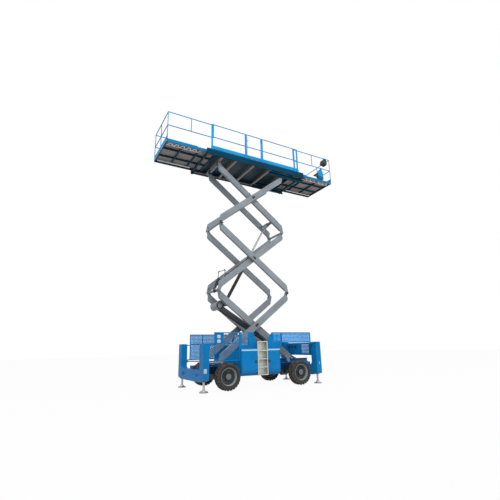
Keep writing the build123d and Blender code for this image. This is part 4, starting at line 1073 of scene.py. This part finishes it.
def console_controls():
    """On the console's sloping top: a joystick in its boot, a red stop button on its collar, a
    row of rocker switches, and a guard hoop round them. The slope is (0.19, 0, -0.04)."""
    slope = np.array((0.190, 0.0, -0.040))
    slope /= np.linalg.norm(slope)
    up = np.array((-slope[2], 0, slope[0]))

    def on_top(along, y):
        """A point on the slope, so far along it from its upper edge."""
        return np.array((3.525, y, 9.585)) + slope * along

    boot = [(-0.002, 0.0), (-0.002, 0.030), (0.004, 0.030), (0.006, 0.026), (0.010, 0.027),
            (0.013, 0.021), (0.017, 0.022), (0.020, 0.016), (0.024, 0.017), (0.027, 0.009),
            (0.040, 0.008), (0.044, 0.013), (0.052, 0.017), (0.060, 0.016), (0.064, 0.010),
            (0.066, 0.0)]
    shells = [lathe(on_top(0.120, -0.665), up, boot, 24)]
    red = [lathe(on_top(0.055, -0.650), up, [(0.012, 0.0), (0.012, 0.016), (0.016, 0.021),
                                             (0.022, 0.021), (0.027, 0.016), (0.029, 0.0)], 24)]
    shells.append(knob(on_top(0.055, -0.650), up, [(-0.002, 0.024), (0.006, 0.024), (0.008, 0.013),
                                                   (0.014, 0.012)]))
    for k in range(5):
        middle = on_top(0.045 + 0.030 * k, -0.735)
        low, high = middle - (0.010, 0.016, 0), middle + (0.010, 0.016, 0)
        top = [(low[0], low[2] - 0.004), (high[0], high[2] - 0.008), (high[0], high[2] + 0.003),
               (middle[0], middle[2] + 0.005), (low[0], low[2] + 0.011)]
        shells.append(prism(top, 1, low[1], high[1]))
    hoop = curve([on_top(0.015, -0.815), on_top(0.015, -0.815) + up * 0.030,
                  on_top(0.030, -0.800) + up * 0.040, on_top(0.030, -0.615) + up * 0.040,
                  on_top(0.015, -0.600) + up * 0.030, on_top(0.015, -0.600)], 5)
    shells.append(pipe(hoop, 0.0055, 10))
    lid = prism([(3.480, 9.395), (3.700, 9.350), (3.706, 9.362), (3.486, 9.407)], 1, -0.596, -0.5935)
    piece("console_controls", "front_extension", "black_plastic", shells + [lid], bevel=0.0008)
    piece("stop_button", "front_extension", "stop_red", red)


def cabinet_trim():
    """A door on the cabinet's inner face with a raised panel, two hinges and a latch, and the
    small dark junction box beside it."""
    low, high = (np.array(corner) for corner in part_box("platform_cabinet"))
    face = high[1]
    edge = [(low[0] + 0.020, low[2] + 0.020), (high[0] - 0.020, low[2] + 0.020),
            (high[0] - 0.020, low[2] + 0.275), (high[0] - 0.112, low[2] + 0.465),
            (low[0] + 0.140, low[2] + 0.465), (low[0] + 0.020, low[2] + 0.275)]
    door = prism(edge, 1, face - 0.001, face + 0.006)
    inner = np.array(edge)
    inner = inner.mean(0) + (inner - inner.mean(0)) * 0.86
    panel = prism(inner, 1, face + 0.005, face + 0.009)
    piece("cabinet_door", "front_extension", "rail_paint", [door, panel], bevel=0.002)
    latch_shells = [knob((low[0] + 0.050, face + 0.005, low[2] + 0.16), (0, 1, 0),
                         [(0, 0.016), (0.006, 0.016), (0.008, 0.010), (0.014, 0.010), (0.016, 0.007)],
                         16)]
    for z in (0.06, 0.24):
        latch_shells.append(knob((high[0] - 0.022, face + 0.008, low[2] + z - 0.02), (0, 0, 1),
                                 [(0, 0.006), (0.002, 0.007), (0.038, 0.007), (0.040, 0.006)], 12))
    junction = [prism([(low[0] - 0.240, low[2] + 0.085), (low[0] - 0.014, low[2] + 0.085),
                       (low[0] - 0.014, low[2] + 0.260), (low[0] - 0.070, low[2] + 0.260),
                       (low[0] - 0.240, low[2] + 0.125)], 1, -0.812, -0.735),
                prism([(low[0] - 0.225, low[2] + 0.098), (low[0] - 0.030, low[2] + 0.098),
                       (low[0] - 0.030, low[2] + 0.245), (low[0] - 0.075, low[2] + 0.245),
                       (low[0] - 0.225, low[2] + 0.127)], 1, -0.736, -0.731),
                box((low[0] - 0.030, -0.800, low[2] + 0.120), (low[0] + 0.004, -0.760, low[2] + 0.220))]
    piece("cabinet_latch", "front_extension", "leg_steel", latch_shells)
    piece("junction_box", "front_extension", "black_plastic", junction, bevel=0.003)


post_plates()
post_caps()
under_lattice("rear_extension", "rear_extension", -3.76, -2.42)
under_lattice("front_extension", "front_extension", 2.36, 3.76)
gate_latch()
console_controls()
cabinet_trim()


# ---- lower cylinders' base --------------------------------------------------------------------
def cylinder_shroud():
    """Round bosses over the base pin's ends outside the two lower barrels, and a curved shroud
    behind the barrels' eyes, 0.146 to 0.158 from the pin, with bolts near both its edges."""
    x, z = -1.474, 2.759
    shells = []
    for side in (NEAR, FAR):
        y = side * 0.232
        shells.append(knob((x, y - side * 0.010, z), (0, side, 0),
                           [(0, 0.080), (0.010, 0.084), (0.024, 0.084), (0.030, 0.076), (0.030, 0.050),
                            (0.044, 0.044), (0.048, 0.034)], 28))
    turn = np.radians(np.linspace(118, 262, 19))
    outer = np.stack((x + 0.158 * np.cos(turn), z + 0.158 * np.sin(turn)), -1)
    inner = np.stack((x + 0.146 * np.cos(turn[::-1]), z + 0.146 * np.sin(turn[::-1])), -1)
    shells.append(prism(np.vstack((outer, inner)), 1, -0.262, 0.262))
    screws = []
    for angle in np.radians((130, 160, 190, 220, 250)):
        for y in (-0.235, 0.235):
            screws += bolt((x + 0.157 * math.cos(angle), y, z + 0.157 * math.sin(angle)),
                           (math.cos(angle), 0, math.sin(angle)), 0.010)
    piece("cylinder_shroud", "stage1_inner", "arm_paint", shells, bevel=0.002, smooth=30)
    piece("shroud_bolts", "stage1_inner", "leg_steel", screws)


cylinder_shroud()


# ---- floor and light -------------------------------------------------------------------
FLOOR_WHITE = 0.965
FLOOR_REACH = 60.0
SKY_LEVEL = 0.62
LAMPS = (("key", (-9, -13, 14), 7.0, 1850.0), ("fill", (12, -9, 8), 8.0, 650.0))
LAMP_AIM = (0, 0, 4.5)


def lay_floor():
    """A wide pale floor that keeps the shadow. The camera sees it nearly white."""
    look = Finish("floor", Roughness=0.9)
    look.shader.inputs["Base Color"].default_value = (0.55, 0.55, 0.55, 1)
    seen = [look.node("ShaderNodeLightPath", {}, {}, ray)
            for ray in ("Is Camera Ray", "Is Glossy Ray", "Is Transmission Ray")]
    white = look.node("ShaderNodeEmission", {}, {"Color": (1, 1, 1, 1), "Strength": 1.0}, "Emission")
    share = (seen[0] * FLOOR_WHITE).larger(seen[1]).larger(seen[2])
    blend = look.tree.nodes.new("ShaderNodeMixShader")
    look.tree.links.new(share.socket, blend.inputs[0])
    look.tree.links.new(look.shader.outputs[0], blend.inputs[1])
    look.tree.links.new(white.socket, blend.inputs[2])
    look.tree.links.new(blend.outputs[0], look.tree.nodes["Material Output"].inputs["Surface"])
    corners = [(FLOOR_REACH * a, FLOOR_REACH * b, 0) for a, b in ((-1, -1), (1, -1), (1, 1), (-1, 1))]
    sheet = bpy.data.meshes.new("floor")
    sheet.from_pydata(corners, [], [(0, 1, 2, 3)])
    sheet.materials.append(look.material)
    floor = bpy.data.objects.new("floor", sheet)
    bpy.context.collection.objects.link(floor)


def hang_sky():
    """An even sky at a plain level, which the camera and reflections see as white."""
    world = bpy.data.worlds.new("sky")
    world.use_nodes = True
    tree = world.node_tree
    plain = tree.nodes["Background"]
    plain.inputs["Color"].default_value = (1, 1, 1, 1)
    plain.inputs["Strength"].default_value = SKY_LEVEL
    bright = tree.nodes.new("ShaderNodeBackground")
    bright.inputs["Color"].default_value = (1, 1, 1, 1)
    ray = tree.nodes.new("ShaderNodeLightPath")
    pick = tree.nodes.new("ShaderNodeMixShader")
    either = tree.nodes.new("ShaderNodeMath")
    either.operation = "MAXIMUM"
    tree.links.new(ray.outputs["Is Camera Ray"], either.inputs[0])
    tree.links.new(ray.outputs["Is Glossy Ray"], either.inputs[1])
    tree.links.new(either.outputs[0], pick.inputs[0])
    tree.links.new(plain.outputs[0], pick.inputs[1])
    tree.links.new(bright.outputs[0], pick.inputs[2])
    tree.links.new(pick.outputs[0], tree.nodes["World Output"].inputs["Surface"])
    bpy.context.scene.world = world


def light_lamps():
    """Two broad soft lamps, turned towards the middle of the machine."""
    for name, place, size, power in LAMPS:
        lamp = bpy.data.lights.new(name, "AREA")
        lamp.size = size
        lamp.energy = power
        held = bpy.data.objects.new(name, lamp)
        held.location = place
        held.rotation_euler = (Vector(LAMP_AIM) - Vector(place)).to_track_quat("-Z", "Y").to_euler()
        bpy.context.collection.objects.link(held)


lay_floor()
hang_sky()
light_lamps()
